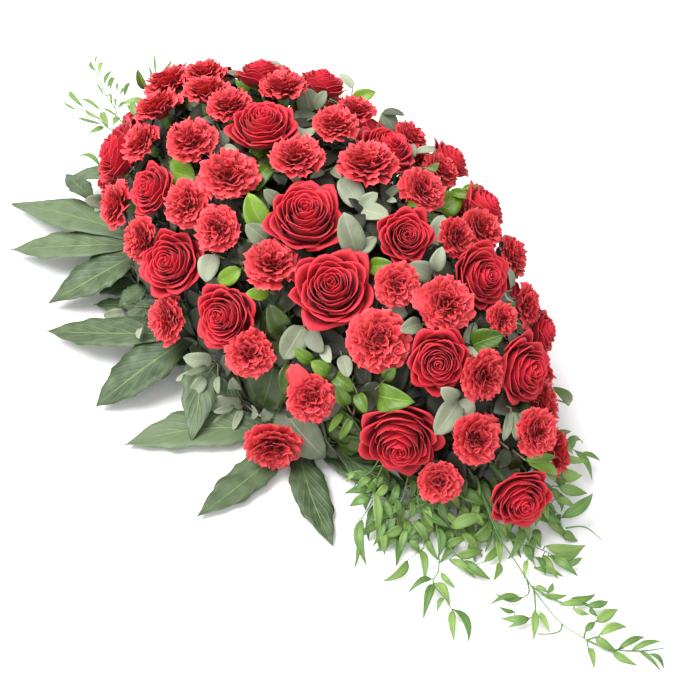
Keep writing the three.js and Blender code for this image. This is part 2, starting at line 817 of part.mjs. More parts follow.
// Outline of each kind of leaf, from its base to its tip: share of the length and of the half-width
const LEAF_OUTLINES = {
  eucalyptus: [[0.27, 0.9], [0.68, 0.88]],
  salal: [[0.32, 1], [0.74, 0.7]],
  ruscus: [[0.42, 1]],
};
const LEAF_CUP = 0.1;

// A leaf as a thin folded lens: its rim follows the outline, and it is thickest at the middle
function leafBlade({ base, tip, width, facing }, outline, thick, grow = 0) {
  const back = outline.map(([share, out]) => [share, -out]).reverse();
  const rim = [[0, 0], ...outline, [1, 0], ...back];
  const along = tip.clone().sub(base);
  const length = along.length() + 2 * grow;
  along.normalize();
  const across = new THREE.Vector3().crossVectors(facing, along).normalize();
  const normal = new THREE.Vector3().crossVectors(along, across);
  const geometry = new THREE.SphereGeometry(1, rim.length, 2);
  const place = geometry.attributes.position;
  const ring = rim.length + 1;
  for (let i = 0; i < place.count; i += 1) {
    const row = Math.floor(i / ring);
    const [share, out] = row === 1 ? rim[(i % ring) % rim.length] : [0.4, 0];
    const lift = row === 1 ? LEAF_CUP * Math.abs(out) * width : (1 - row) * (thick / 2 + grow);
    const point = base.clone().addScaledVector(along, share * length - grow);
    point.addScaledVector(across, out * (width / 2 + grow)).addScaledVector(normal, lift);
    place.setXYZ(i, ...point);
  }
  return solidOf(geometry);
}

const hulls = blooms.map(bloomHull);
const standing = [];

// Adds leaves on their stems as one node, trimmed clear of the blooms, their stems and earlier leaves
function addFoliage(name, pieces, grown, look) {
  const stems = lines.map(({ from, to, radius }) => stemBetween(from, to, (radius + 0.5) * Math.SQRT2));
  let body = joined(pieces);
  for (const block of [...hulls, ...stems, ...standing]) body = body.subtract(block);
  standing.push(joined(grown));
  addNode(name, largest(body), look);
}

// Fatsia: palmate leaves with toothed lobes that droop to the floor round the tray
function fatsiaLeaf({ middle, tips }, thick, scale = 1) {
  const centre = new THREE.Vector2(middle[0], middle[1]);
  const lobes = tips.map(([x, y, z]) => {
    const along = new THREE.Vector2(x, y).sub(centre);
    const length = along.length() * scale;
    return { along: along.normalize(), across: new THREE.Vector2(-along.y, along.x), length, z };
  });
  const backward = lobes.reduce((sum, lobe) => sum.sub(lobe.along), new THREE.Vector2()).normalize();
  const outline = [centre.clone().addScaledVector(backward, FATSIA.palm * scale)];
  lobes.forEach((lobe, index) => {
    const at = (share, out) => centre.clone()
      .addScaledVector(lobe.along, share * lobe.length)
      .addScaledVector(lobe.across, out * lobe.length * LOBE_SHARE);
    for (const [share, out] of LOBE) outline.push(at(share, -out));
    for (const [share, out] of LOBE.slice(0, -1).reverse()) outline.push(at(share, out));
    const next = lobes[index + 1];
    if (!next) return;
    const between = lobe.along.clone().add(next.along).normalize();
    outline.push(centre.clone().addScaledVector(between, FATSIA.palm * scale));
  });
  const flat = new THREE.Shape(outline);
  const geometry = new THREE.ExtrudeGeometry(flat, { depth: thick, bevelEnabled: false });
  const place = geometry.attributes.position;
  for (let i = 0; i < place.count; i += 1) {
    const from = new THREE.Vector2(place.getX(i), place.getY(i)).sub(centre);
    const nearer = (best, other) => (from.dot(other.along) > from.dot(best.along) ? other : best);
    const lobe = lobes.reduce(nearer);
    const share = THREE.MathUtils.clamp(from.dot(lobe.along) / lobe.length, 0, 1);
    place.setZ(i, place.getZ(i) + middle[2] - thick / 2 + (lobe.z - middle[2]) * share ** 1.5);
  }
  return solidOf(geometry);
}

FATSIA_LEAVES.forEach((leaf, index) => {
  const middle = new THREE.Vector3(...leaf.middle);
  let best = { gap: -Infinity };
  for (let aside = -36; aside <= 36; aside += 3) {
    const spot = new THREE.Vector3(leaf.root[0] + aside, leaf.root[1], leaf.root[2]);
    const gapToPetals = gapToBlooms(spot, middle, FATSIA.petiole, []);
    const gap = Math.min(gapToLines(spot, middle, FATSIA.petiole), gapToPetals);
    if (Math.min(gap, 2) > Math.min(best.gap, 2)) best = { gap, spot };
  }
  const root = best.spot;
  const end = sunkEnd(root, middle, FATSIA.petiole + 2 * CLEAR, 4);
  const petiole = stemBetween(end, middle, FATSIA.petiole);
  const pieces = [fatsiaLeaf(leaf, FATSIA.blade), petiole];
  const grown = [fatsiaLeaf(leaf, FATSIA.blade + 2.4, 1.01), stemBetween(end, middle, FATSIA.petiole + 0.6)];
  addFoliage(numbered("fatsia_leaf", index), pieces, grown, LOOKS.fatsia);
  lines.push({ from: end, to: middle, radius: FATSIA.petiole });
});

// The clearest of several spots, reached in a straight line where its leaf starts elsewhere
function clearest(spots, from, reach) {
  let best = { gap: -Infinity };
  for (const spot of spots) {
    let gap = 4;
    for (const share of from ? [0.3, 0.65, 1] : [1]) {
      const point = from ? from.clone().lerp(spot, share) : spot;
      for (const bloom of blooms) gap = Math.min(gap, gapToBloom(point, bloom) - reach);
      if (!from) gap = Math.min(gap, gapToLines(point, point.clone().add(UP), reach));
    }
    if (gap > best.gap) best = { gap, spot };
  }
  return best.spot;
}

const BASE_DEPTHS = [30, 26, 34, 22, 38, 42, 18, 46, 50, 14];
const TIP_DEPTHS = [8, 4, 12, 0, 16, 20, -4, 24];
const FLOOR = 2;

// The spots at several depths that a pixel can show
function shownSpots(px, py, depths, lowest = FLOOR) {
  return depths.map((depth) => {
    const spot = onMound(px, py, depth);
    return spot.z < lowest ? onLevel(px, py, lowest) : spot;
  });
}

// The leaves of one cluster: they fan out from one point to their tips
function shownCluster([px, py, leaves]) {
  const base = clearest(shownSpots(px, py, BASE_DEPTHS), null, SPRIG.stem);
  return {
    base,
    leaves: leaves.map(([x, y, pixels]) => {
      const tip = clearest(shownSpots(x, y, TIP_DEPTHS, FLOOR + pixels * 0.35), base, pixels * 0.2);
      const width = (pixels * viewer.clone().sub(tip).dot(toViewer)) / VIEW.focal;
      return { base, tip, width, facing: toViewer.clone().lerp(moundNormal(tip), 0.25) };
    }),
  };
}

function farCluster([x, degrees, turn, length]) {
  const base = clearest(BASE_DEPTHS.map((depth) => roundMound(x, degrees, depth)), null, SPRIG.stem);
  const normal = moundNormal(roundMound(x, degrees));
  const tangent = new THREE.Vector3(1, 0, 0).projectOnPlane(normal).normalize();
  tangent.applyAxisAngle(normal, THREE.MathUtils.degToRad(turn));
  const tip = base.clone().addScaledVector(tangent, length).addScaledVector(normal, 20);
  return { base, leaves: [{ base, tip, width: length * 0.55, facing: normal }] };
}

// The least gap between a stem above the foam's edge or outside it and the tray with its foam
function gapToTrough(from, to, radius) {
  let least = Infinity;
  const samples = 12;
  const blocks = [
    [TRAY.length / 2, TRAY.width / 2, FOAM.height],
    [TRAY.length / 2 + TRAY.flare + TRAY.lip, TRAY.width / 2 + TRAY.flare + TRAY.lip, TRAY.height],
  ];
  for (let i = 0; i <= samples; i += 1) {
    const point = from.clone().lerp(to, i / samples);
    for (const [x, y, z] of blocks) {
      const outside = new THREE.Vector3(Math.abs(point.x) - x, Math.abs(point.y) - y, point.z - z);
      const deepest = Math.max(outside.x, outside.y, outside.z);
      const gap = deepest < 0 ? deepest : outside.clampScalar(0, Infinity).length();
      least = Math.min(least, gap - 1.42 * radius);
    }
  }
  return least;
}

// The least gap between a path of straight legs and all that stands: it may start inside the foam
function gapAlong(points, radius, rooted) {
  let gap = Infinity;
  let inFoam = rooted;
  for (let i = 1; i < points.length; i += 1) {
    const [from, to] = [points[i - 1], points[i]];
    gap = Math.min(gap, gapToLines(from, to, radius), gapToBlooms(from, to, radius, []));
    if (!inFoam) gap = Math.min(gap, gapToTrough(from, to, radius));
    if (gapToTrough(to, to, radius) > 0) inFoam = false;
  }
  return gap;
}

// A path with its corners rounded
function smoothed(points) {
  return new THREE.CatmullRomCurve3(points).getSpacedPoints(points.length + 3);
}

// Grows a stem that branches: each branch joins what has grown where the way to its first point is
// clearest, by a straight leg or, where none is clear, by a bent one
function growStem(branches, radius, random, side) {
  const paths = [];
  const shake = (by) => new THREE.Vector3(random() - 0.5, random() - 0.5, random() - 0.5).multiplyScalar(by);
  const trials = 900;
  for (const [end, ...rest] of branches) {
    let best = { gap: -Infinity };
    for (let trial = 0; trial < trials && best.gap < 0.8; trial += 1) {
      const points = [end];
      const aside = shake(10 + trial / 8).multiply(new THREE.Vector3(1, 0.5, 0.1));
      let start = (side ?? footOf(end)).clone().add(aside);
      start.x = THREE.MathUtils.clamp(start.x, -212, 212);
      start.y = THREE.MathUtils.clamp(start.y, -42, 42);
      if (paths.length) {
        const path = paths[Math.floor(random() * paths.length)];
        const leg = Math.floor(random() * (path.length > 3 ? path.length / 2 : path.length - 1));
        start = path[leg].clone().lerp(path[leg + 1], 0.3 + 0.6 * random());
      }
      if (trial > trials / 3 || (side && !paths.length)) {
        points.unshift(start.clone().lerp(end, 0.3 + 0.4 * random()).add(shake(trial / 8)));
      }
      points.unshift(start);
      const path = rest.length ? smoothed([...points, ...rest]) : points;
      const gap = gapAlong(path, radius, !paths.length);
      if (gap > best.gap) best = { gap, path };
    }
    paths.push(best.path);
  }
  return paths;
}

// Takes a sprig's stems into the lines that later ones keep clear of, and gives the foam their holes
function keepLines(paths, radius) {
  for (const path of paths) {
    for (let i = 1; i < path.length; i += 1) {
      const [from, to] = [path[i - 1], path[i]];
      lines.push({ from, to, radius });
      if (gapToTrough(from, to, radius) > CLEAR) continue;
      const past = to.clone().addScaledVector(to.clone().sub(from).normalize(), 2 * radius);
      holes.push(stemBetween(from, past, 2 * (radius + CLEAR), 3));
    }
  }
}

// Lets a path start deeper in the foam
function sunkPath(path, radius) {
  const down = path[0].clone().sub(path[1]).normalize();
  const end = path[0].clone().addScaledVector(down, ROOT_DEPTH);
  const bottom = end.clone().addScaledVector(down, 2 * CLEAR);
  holes.push(stemBetween(bottom, path[0].clone().addScaledVector(down, -1), 2 * (radius + CLEAR), 3));
  return [end, ...path.slice(1)];
}

// Eucalyptus and salal: clusters of leaves between the blooms, on stems that branch inside the mound
function addSprigs(kind, sprigs, seed) {
  sprigs.forEach((shown, index) => {
    const clusters = [...shown.map(shownCluster), ...FAR_LEAVES[kind][index].map(farCluster)];
    const paths = growStem(clusters.map(({ base }) => [base]), SPRIG.stem, randomSource(seed + index));
    paths[0] = sunkPath(paths[0], SPRIG.stem);
    const outline = LEAF_OUTLINES[kind];
    const leaves = clusters.flatMap((cluster) => cluster.leaves);
    const pieces = paths.map((path) => twig(path, SPRIG.stem));
    for (const leaf of leaves) pieces.push(leafBlade(leaf, outline, SPRIG.blade));
    const grown = leaves.map((leaf) => leafBlade(leaf, outline, SPRIG.blade, 0.7));
    addFoliage(numbered(kind, index), pieces, grown, LOOKS[kind]);
    keepLines(paths, SPRIG.stem);
  });
}
addSprigs("eucalyptus", EUCALYPTUS, 200);
addSprigs("salal", SALAL, 300);

// Ruscus: long twigs with narrow leaves in two rows, which trail out from under the blooms
function branchPoints({ places = [], shown = [] }) {
  const points = places.map((place) => new THREE.Vector3(...place));
  for (const [px, py, height] of shown) {
    const spots = height ? [onLevel(px, py, height)] : shownSpots(px, py, BASE_DEPTHS);
    points.push(clearest(spots, null, RUSCUS.stem));
  }
  return points;
}

// The leaves along the free part of a branch, one more at its tip
function ruscusLeaves(path, count, random) {
  const curve = new LeggedPath(path);
  const leafTo = (base, direction, reach) => {
    const tip = base.clone().addScaledVector(direction, reach);
    tip.z = Math.max(FLOOR, tip.z + reach * (0.22 * random() - 0.1));
    return { base, tip, width: RUSCUS.width * (0.85 + 0.3 * random()), facing: UP };
  };
  const leaves = [leafTo(curve.getPoint(0.97), curve.getTangent(0.97), RUSCUS.leaf * 0.75)];
  for (let i = 0; i < count; i += 1) {
    const share = 0.08 + (0.86 * (i + 0.5)) / count;
    const along = curve.getTangent(share);
    const side = new THREE.Vector3().crossVectors(UP, along).normalize();
    const spread = (0.65 + 0.3 * random()) * (i % 2 === 0 ? 1 : -1);
    const direction = along.addScaledVector(side, spread).normalize();
    const length = RUSCUS.leaf * (1 - 0.25 * share) * (0.8 + 0.35 * random());
    leaves.push(leafTo(curve.getPoint(share), direction, length));
  }
  return leaves;
}

RUSCUS_SPRIGS.forEach(({ foot, branches }, index) => {
  const random = randomSource(400 + index);
  const tails = branches.map(branchPoints);
  const paths = growStem(tails, RUSCUS.stem, random, new THREE.Vector3(...foot));
  paths[0] = sunkPath(paths[0], RUSCUS.stem);
  const leaves = paths.flatMap((path, i) => {
    const distances = path.map((point) => point.distanceTo(tails[i][0]));
    return ruscusLeaves(path.slice(distances.indexOf(Math.min(...distances))), branches[i].leaves, random);
  });
  const pieces = paths.map((path) => bentStem(path, RUSCUS.stem));
  const grown = paths.map((path) => bentStem(path, RUSCUS.stem + 0.7));
  for (const leaf of leaves) {
    pieces.push(leafBlade(leaf, LEAF_OUTLINES.ruscus, RUSCUS.blade));
    grown.push(leafBlade(leaf, LEAF_OUTLINES.ruscus, RUSCUS.blade, 0.7));
  }
  addFoliage(numbered("ruscus", index), pieces, grown, LOOKS.ruscus);
  keepLines(paths, RUSCUS.stem);
});

// A block with rounded upright edges whose top is wider or narrower than its foot
function roundedBlock(length, width, corner, levels, opening) {
  const outline = roundedOutline(new THREE.Shape(), length, width, corner);
  if (opening) outline.holes.push(roundedOutline(new THREE.Path(), ...opening));
  const [bottom, top] = levels;
  return new THREE.ExtrudeGeometry(outline, {
    depth: top - bottom,
    bevelEnabled: false,
    curveSegments: 2,
  }).translate(0, 0, bottom);
}

function roundedOutline(path, length, width, corner) {
  const [x, y] = [length / 2 - corner, width / 2 - corner];
  const middles = [[x, y], [-x, y], [-x, -y], [x, -y]];
  const quarter = Math.PI / 2;
  middles.forEach(([cx, cy], i) => path.absarc(cx, cy, corner, i * quarter, (i + 1) * quarter, false));
  return path;
}

// Moves the vertices above a level outwards, or inwards where the amount is below 0
function spreadAbove(geometry, level, amount) {
  const place = geometry.attributes.position;
  for (let i = 0; i < place.count; i += 1) {
    if (place.getZ(i) < level) continue;
    place.setX(i, place.getX(i) + amount * Math.sign(place.getX(i)));
    place.setY(i, place.getY(i) + amount * Math.sign(place.getY(i)));
  }
  return geometry;
}

// Tray: a flared plastic trough with a lip that turns out and a low flat stand under its floor
function trayBody() {
  const { length, width, height, wall, flare, corner, lip, lipDepth } = TRAY;
  const outside = spreadAbove(roundedBlock(length, width, corner, [STAND.height, height]), height, flare);
  const cavity = spreadAbove(
    roundedBlock(length - 2 * wall, width - 2 * wall, corner - wall, [wall, height + 1]),
    height,
    flare,
  );
  const rim = 2 * (flare + lip);
  const edge = roundedBlock(length + rim, width + rim, corner + flare + lip, [height - lipDepth, height]);
  const stand = new THREE.BoxGeometry(length - 2 * STAND.inset, width - 2 * STAND.inset, wall);
  stand.translate(0, 0, wall / 2);
  return solidOf(outside).add(solidOf(edge)).add(solidOf(stand)).subtract(solidOf(cavity));
}

// Wet foam: a block that fills the tray, stands above it with chamfered edges, and has a hole for each stem
function foamBody() {
  const inset = 2 * (TRAY.wall + FOAM.gap);
  const size = [TRAY.length - inset, TRAY.width - inset, TRAY.corner - TRAY.wall - FOAM.gap];
  const lower = solidOf(roundedBlock(...size, [TRAY.wall + FOAM.gap, FOAM.shoulder]));
  const block = roundedBlock(...size, [FOAM.shoulder - 1, FOAM.height]);
  const upper = spreadAbove(block, FOAM.height, -FOAM.chamfer);
  return holes.reduce((foam, hole) => foam.subtract(hole), lower.add(solidOf(upper)));
}

addNode("foam", foamBody(), LOOKS.foam);
addNode("tray", trayBody(), LOOKS.tray);

export default funeralSpray;
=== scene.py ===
"""A single-ended funeral spray of red roses and carnations, dressed over its solids.

Places are worked out in millimetres in the frame of the solids: the origin is the middle of the tray's
underside, +X runs to the thin trailing end, and the side that shows most faces -Y.
"""

import logging
import math
from collections.abc import Callable, Iterable
from dataclasses import dataclass, field, replace
from enum import Enum
from random import Random

import bmesh
import bpy
from mathutils import Matrix, Quaternion, Vector


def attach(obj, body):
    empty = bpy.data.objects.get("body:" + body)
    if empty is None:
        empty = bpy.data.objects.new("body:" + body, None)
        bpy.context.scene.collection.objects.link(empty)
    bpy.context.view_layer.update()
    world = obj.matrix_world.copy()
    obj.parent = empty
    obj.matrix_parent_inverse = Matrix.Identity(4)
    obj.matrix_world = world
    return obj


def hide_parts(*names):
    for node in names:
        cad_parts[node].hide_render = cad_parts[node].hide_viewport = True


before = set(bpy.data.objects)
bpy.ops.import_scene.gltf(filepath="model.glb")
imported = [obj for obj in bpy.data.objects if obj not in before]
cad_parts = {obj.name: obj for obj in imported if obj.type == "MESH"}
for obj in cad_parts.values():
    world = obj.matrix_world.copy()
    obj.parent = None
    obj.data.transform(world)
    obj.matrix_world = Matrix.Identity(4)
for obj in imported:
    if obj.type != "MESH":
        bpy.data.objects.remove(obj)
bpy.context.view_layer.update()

Point = tuple[float, float, float]
Row = tuple[float, ...]
Form = Callable[[float, float], Vector]
Tint = Callable[[float, float], Point]
Mesh = bmesh.types.BMesh

MM = 0.001
UP = Vector((0, 0, 1))
# Name of the attribute with the four values that each vertex of a piece carries
FORM = "form"
# The values of a stem
STEM_VALUES = (0.3, 0.5, 0.5, 1)
# The lowest that a dressed piece comes, and the least height of a leaf's tip, in millimetres
LOWEST = 0.8
CLEAR = 4
# The turn from each petal of a spiral to the next
GOLDEN_TURN = math.radians(137.5)
# Two steps that spread numbered points evenly over a square
EVEN_STEPS = (0.7549, 0.5698)

# Places in the photograph's 700 by 700 frame

# Roses: x, y and width in pixels, how far the face turns right and up, and a height where it lies lower
SHOWN_ROSES = [
    (261, 122, 67, 0, 0.66), (305, 213, 79, 0, 0.5), (332, 287, 84, -0.08, 0.33), (169, 262, 68, -0.4, 0.1),
    (224, 318, 66, -0.45, -0.1), (407, 235, 58, 0.1, 0.1), (440, 362, 65, -0.05, -0.25),
    (402, 444, 83, -0.1, -0.62), (522, 501, 64, 0.3, -0.5), (524, 371, 68, 0.72, -0.1),
    (484, 276, 66, 0.6, 0.05), (387, 147, 62, 0.35, 0.7), (149, 188, 52, -0.6, 0.2),
    (117, 152, 64, -0.85, 0.3), (322, 82, 48, 0.2, 0.9), (450, 161, 43, 0.74, 0.6, 195),
    (486, 206, 50, 0.78, 0.5), (262, 73, 50, 0, 0.95), (543, 336, 41, 0.92, 0.15),
]
# Carnations in the same way
SHOWN_CARNATIONS = {
    "c01": (205, 74, 40, -0.1, 0.88), "c02": (168, 87, 47, -0.35, 0.84), "c03": (160, 105, 48, -0.4, 0.8),
    "c05": (229, 105, 46, -0.1, 0.7), "c06": (142, 142, 45, -0.6, 0.45), "c07": (190, 140, 53, -0.12, 0.52),
    "c08": (228, 175, 61, 0, 0.55), "c09": (296, 157, 55, 0, 0.68), "c10": (186, 203, 50, -0.4, 0.1),
    "c11": (217, 228, 49, -0.35, 0.1), "c12": (117, 205, 46, -0.85, 0.1), "c13": (142, 239, 48, -0.72, 0),
    "c14": (168, 319, 49, -0.74, -0.05), "c15": (271, 264, 57, 0, 0.58), "c16": (248, 352, 51, -0.1, -0.1),
    "c17": (311, 398, 52, 0, -0.2), "c18": (273, 446, 56, 0.05, -0.68, 44), "c19": (379, 341, 66, 0, 0),
    "c20": (397, 285, 47, 0, 0), "c21": (447, 304, 58, 0.2, 0.2), "c22": (367, 164, 59, 0, 0.74),
    "c23": (335, 125, 46, 0, 0.7), "c24": (355, 111, 40, 0.1, 0.8), "c25": (283, 88, 48, 0, 0.85),
    "c26": (207, 93, 48, 0, 0.87), "c28": (423, 190, 48, 0.48, 0.35), "c29": (456, 238, 43, 0.68, 0.15),
    "c30": (482, 229, 46, 0.52, 0.42), "c31": (511, 256, 42, 0.84, 0.35), "c32": (525, 305, 42, 0.94, 0.1),
    "c33": (503, 319, 34, 0.4, 0.1), "c34": (486, 375, 52, 0.5, -0.25), "c35": (477, 439, 55, 0.45, -0.1),
    "c36": (438, 481, 44, 0, -0.2), "c37": (537, 432, 48, 0.6, 0), "c38": (410, 137, 36, 0.6, 0.6),
    "c39": (443, 168, 38, 0.55, 0.6),
}
# Carnations with one large smooth petal: how far right and up it lies, and its reach as a share of the radius
PLAIN_PETALS = {"c17": (-0.5, 0.87, 1.42), "c21": (-1, 0.05, 1.2)}
# Blooms of the far side: place along the mound, angle round it from the near foot, radius, and a depth below
# the mound where there is one
FAR_ROSES = [
    (-338, 112, 35), (-262, 131, 37), (-120, 150, 37), (-20, 167, 36), (150, 167, 36), (-350, 52, 33),
]
FAR_CARNATIONS = {
    "f01": (-312, 84, 27), "f02": (-366, 92, 25), "f03": (-318, 148, 28), "f04": (-200, 149, 27),
    "f06": (-168, 172, 29), "f07": (-62, 147, 28), "f08": (32, 156, 28), "f10": (200, 172, 27, 6),
    "f11": (256, 150, 26, 12), "f12": (306, 134, 25, 16), "f13": (338, 160, 22, 14), "f14": (-338, 22, 27),
    "f15": (-292, 172, 28),
}
CARNATION_STEMS = [
    ("c01", "c02", "c03", "f01"), ("c06", "c12", "c13", "f14"), ("c05", "c07", "c25", "c26"),
    ("c08", "c10", "c11", "c14"), ("c09", "c22", "c23", "c28"), ("c15", "c16", "c17", "c18"),
    ("c19", "c20", "c35", "c36"), ("c29", "c30", "c31", "c32"), ("c21", "c33", "c34", "c37"),
    ("f02", "f03", "f15"), ("f04", "f06", "f07", "c24"), ("f08", "c38", "c39"),
    ("f10", "f11", "f12", "f13"),
]

# Leaf clusters: the pixel of their bases, then each leaf's tip and width in pixels, how light it is drawn
# where it isn't fully, as painted shade, and how much deeper it lies than its neighbours, below zero where it
# lies higher
EUCALYPTUS = [
    [
        (187, 120, [(158, 109, 16)]), (216, 122, [(202, 119, 9)]),
        (222, 147, [(210, 150, 11), (225, 130, 16, 0.5), (237, 150, 8)]),
        (310, 113, [(304, 88, 25, 1, -12), (301, 142, 24), (326, 91, 13, 1, -10)]),
        (246, 82, [(229, 72, 11)]), (284, 74, [(263, 63, 12)]), (353, 88, [(340, 73, 10)]),
        (382, 113, [(396, 133, 17), (404, 114, 8, 0.5)]), (400, 134, [(415, 154, 9)]),
        (107, 202, [(86, 200, 15), (94, 211, 8)]), (140, 214, [(122, 222, 18, 0.1, 20)]),
    ],
    [
        (360, 208, [(341, 176, 25), (388, 215, 20), (377, 193, 15)]),
        (384, 199, [(401, 185, 9), (396, 201, 7)]), (357, 255, [(344, 213, 27), (376, 237, 14)]),
        (332, 168, [(347, 178, 12), (311, 177, 7)]), (300, 184, [(290, 174, 9)]),
        (270, 244, [(246, 225, 22)]), (283, 204, [(264, 190, 15)]), (442, 195, [(446, 172, 12)]),
        (436, 149, [(413, 152, 8)]),
    ],
    [
        (433, 276, [(442, 248, 16), (410, 265, 22)]), (432, 247, [(444, 214, 21)]),
        (519, 336, [(523, 312, 9, 1, -8)]), (545, 333, [(536, 316, 12, 1, -8)]),
        (407, 306, [(386, 320, 18)]), (428, 322, [(402, 330, 18), (440, 328, 9)]),
        (512, 290, [(508, 268, 9)]), (503, 266, [(499, 246, 12, 0.3, 18), (518, 278, 12, 0.2, 10)]),
    ],
    [
        (303, 326, [(283, 359, 27), (322, 351, 20, 0.6)]), (320, 335, [(330, 362, 13)]),
        (338, 343, [(348, 377, 15)]), (214, 254, [(205, 281, 22)]),
        (218, 361, [(184, 358, 18, 1, -14), (190, 396, 14, 1, -24), (218, 393, 8, 1, -14)]),
        (218, 361, [(187, 374, 8, 1, -24), (175, 381, 7, 1, -24)]),
        (152, 309, [(124, 305, 9, 1, -30), (138, 337, 8, 1, -30), (117, 339, 8, 1, -30)]),
        (152, 309, [(103, 316, 13, 1, -34), (110, 331, 6, 1, -34)]),
    ],
    [
        (459, 400, [(443, 389, 18), (472, 419, 20), (436, 434, 26)]),
        (466, 345, [(476, 322, 12), (480, 358, 7)]), (511, 408, [(504, 440, 10), (516, 439, 10)]),
        (518, 414, [(546, 430, 19, 1, -14)]), (503, 256, [(502, 236, 9)]),
        (244, 403, [(207, 404, 22, 1, -16), (257, 415, 14, 1, -10), (233, 429, 9, 1, -16)]),
        (244, 403, [(212, 428, 13, 1, -16), (214, 412, 8, 1, -18), (232, 380, 13)]),
        (274, 406, [(262, 421, 13)]), (282, 406, [(322, 458, 42, 0.75, -6)]),
    ],
]
SALAL = [
    [
        (196, 180, [(163, 172, 32)]), (250, 160, [(280, 142, 22, 1, 10)]), (272, 165, [(254, 191, 20)]),
        (255, 92, [(235, 80, 14), (276, 78, 10)]), (146, 90, [(137, 71, 10)]), (204, 82, [(206, 70, 9)]),
        (201, 112, [(184, 97, 16, 0.3)]),
    ],
    [
        (353, 102, [(374, 91, 16)]), (412, 166, [(435, 170, 19, 0.8, -6)]),
        (534, 324, [(546, 344, 8, 1, -8)]), (439, 213, [(462, 195, 27)]),
        (449, 192, [(479, 196, 11), (480, 187, 6)]), (363, 268, [(392, 264, 18)]),
        (402, 210, [(415, 205, 8)]),
    ],
    [
        (270, 237, [(248, 193, 26)]), (245, 267, [(216, 282, 18)]), (275, 293, [(246, 293, 14)]),
        (287, 332, [(269, 306, 24, 0.3)]), (290, 362, [(283, 396, 12, 0.3)]),
        (274, 362, [(260, 410, 44, 0.35, 6)]), (321, 367, [(294, 349, 14)]),
        (331, 373, [(311, 362, 17), (353, 391, 17)]),
    ],
    [
        (371, 394, [(395, 369, 14, 1, -8), (408, 402, 29, 1, -10)]), (352, 381, [(366, 413, 14)]),
        (353, 416, [(337, 387, 16), (339, 440, 9)]), (343, 413, [(329, 432, 8)]),
        (470, 347, [(503, 335, 25, 1, -8)]), (508, 448, [(497, 470, 15, 0.1, 16), (516, 472, 15, 0.1, 16)]),
        (474, 356, [(465, 368, 8)]), (525, 460, [(556, 457, 10), (560, 475, 12)]),
        (570, 404, [(556, 388, 12, 0.5)]),
    ],
]
# Leaves of the far side in the same sprigs: place along the mound, angle round it, turn and length
FAR_EUCALYPTUS = [
    [(-150, 163, 30, 46), (-290, 118, 120, 44)],
    [(-70, 171, 200, 46)],
    [(118, 160, 20, 44)],
    [(-215, 172, 250, 46)],
    [(240, 160, 40, 44)],
]
FAR_SALAL = [
    [(-205, 128, 40, 52), (-330, 70, 190, 48)],
    [(-90, 163, 20, 56), (60, 152, 150, 50)],
    [(-265, 158, 300, 54)],
    [(185, 150, 60, 50)],
]

# Palmate leaves round the foot: where the stalk leaves the foam, the middle, the lobe tips with their
# half-width as a share of their length, how light each is and how far it bows sideways where it does, and
# smaller lobes as the pixels of base and tip with a height and a width in pixels
FATSIA_LEAVES = [
    (
        (-170, -30, 54),
        (-236, -112, 52),
        [(-467, -196, 12, 0.13, 0.8), (-383, -243, 12, 0.15, 0.65), (-262, -252, 12, 0.23, 0.2)],
        [
            (150, 283, 119, 307, 36, 20), (141, 306, 94, 305, 14, 15), (118, 262, 86, 244, 34, 15),
            (94, 203, 66, 175, 60, 19), (152, 262, 112, 274, 40, 24), (160, 298, 126, 320, 34, 22),
            (132, 236, 104, 250, 50, 18), (146, 284, 100, 293, 22, 22), (206, 348, 166, 362, 22, 30),
        ],
    ),
    (
        (-40, -30, 54),
        (-69, -152, 48),
        [(-219, -280, 12, 0.14, 0.25), (-75, -294, 8, 0.24, 0), (40, -236, 10, 0.16, 0.4)],
        [(196, 300, 150, 330, 34, 22), (215, 372, 240, 398, 36, 26)],
    ),
    (
        (90, -30, 76),
        (103, -136, 9),
        [
            (-5, -298, 6, 0.17, 1, 0.13), (132, -289, 6, 0.15, 0.25, -0.06), (252, -196, 6, 0.13, 0.15),
            (250, -104, 8, 0.13, 0.2),
        ],
        [(334, 446, 401, 491, 34, 26)],
    ),
    (
        (-205, 10, 54),
        (-322, 12, 60),
        [(-390, 158, 10, 0.14, 0.3), (-478, 40, 10, 0.14, 0.45), (-454, -112, 26, 0.14, 0.5)],
        [],
    ),
    (
        (-110, 32, 54),
        (-150, 150, 48),
        [(-48, 268, 8, 0.14, 0.4), (-160, 290, 8, 0.14, 0.3), (-275, 262, 8, 0.14, 0.5)],
        [],
    ),
    (
        (60, 32, 54),
        (40, 146, 46),
        [(128, 176, 10, 0.14, 0.3), (34, 246, 8, 0.14, 0.5), (-72, 258, 8, 0.14, 0.35)],
        [],
    ),
]

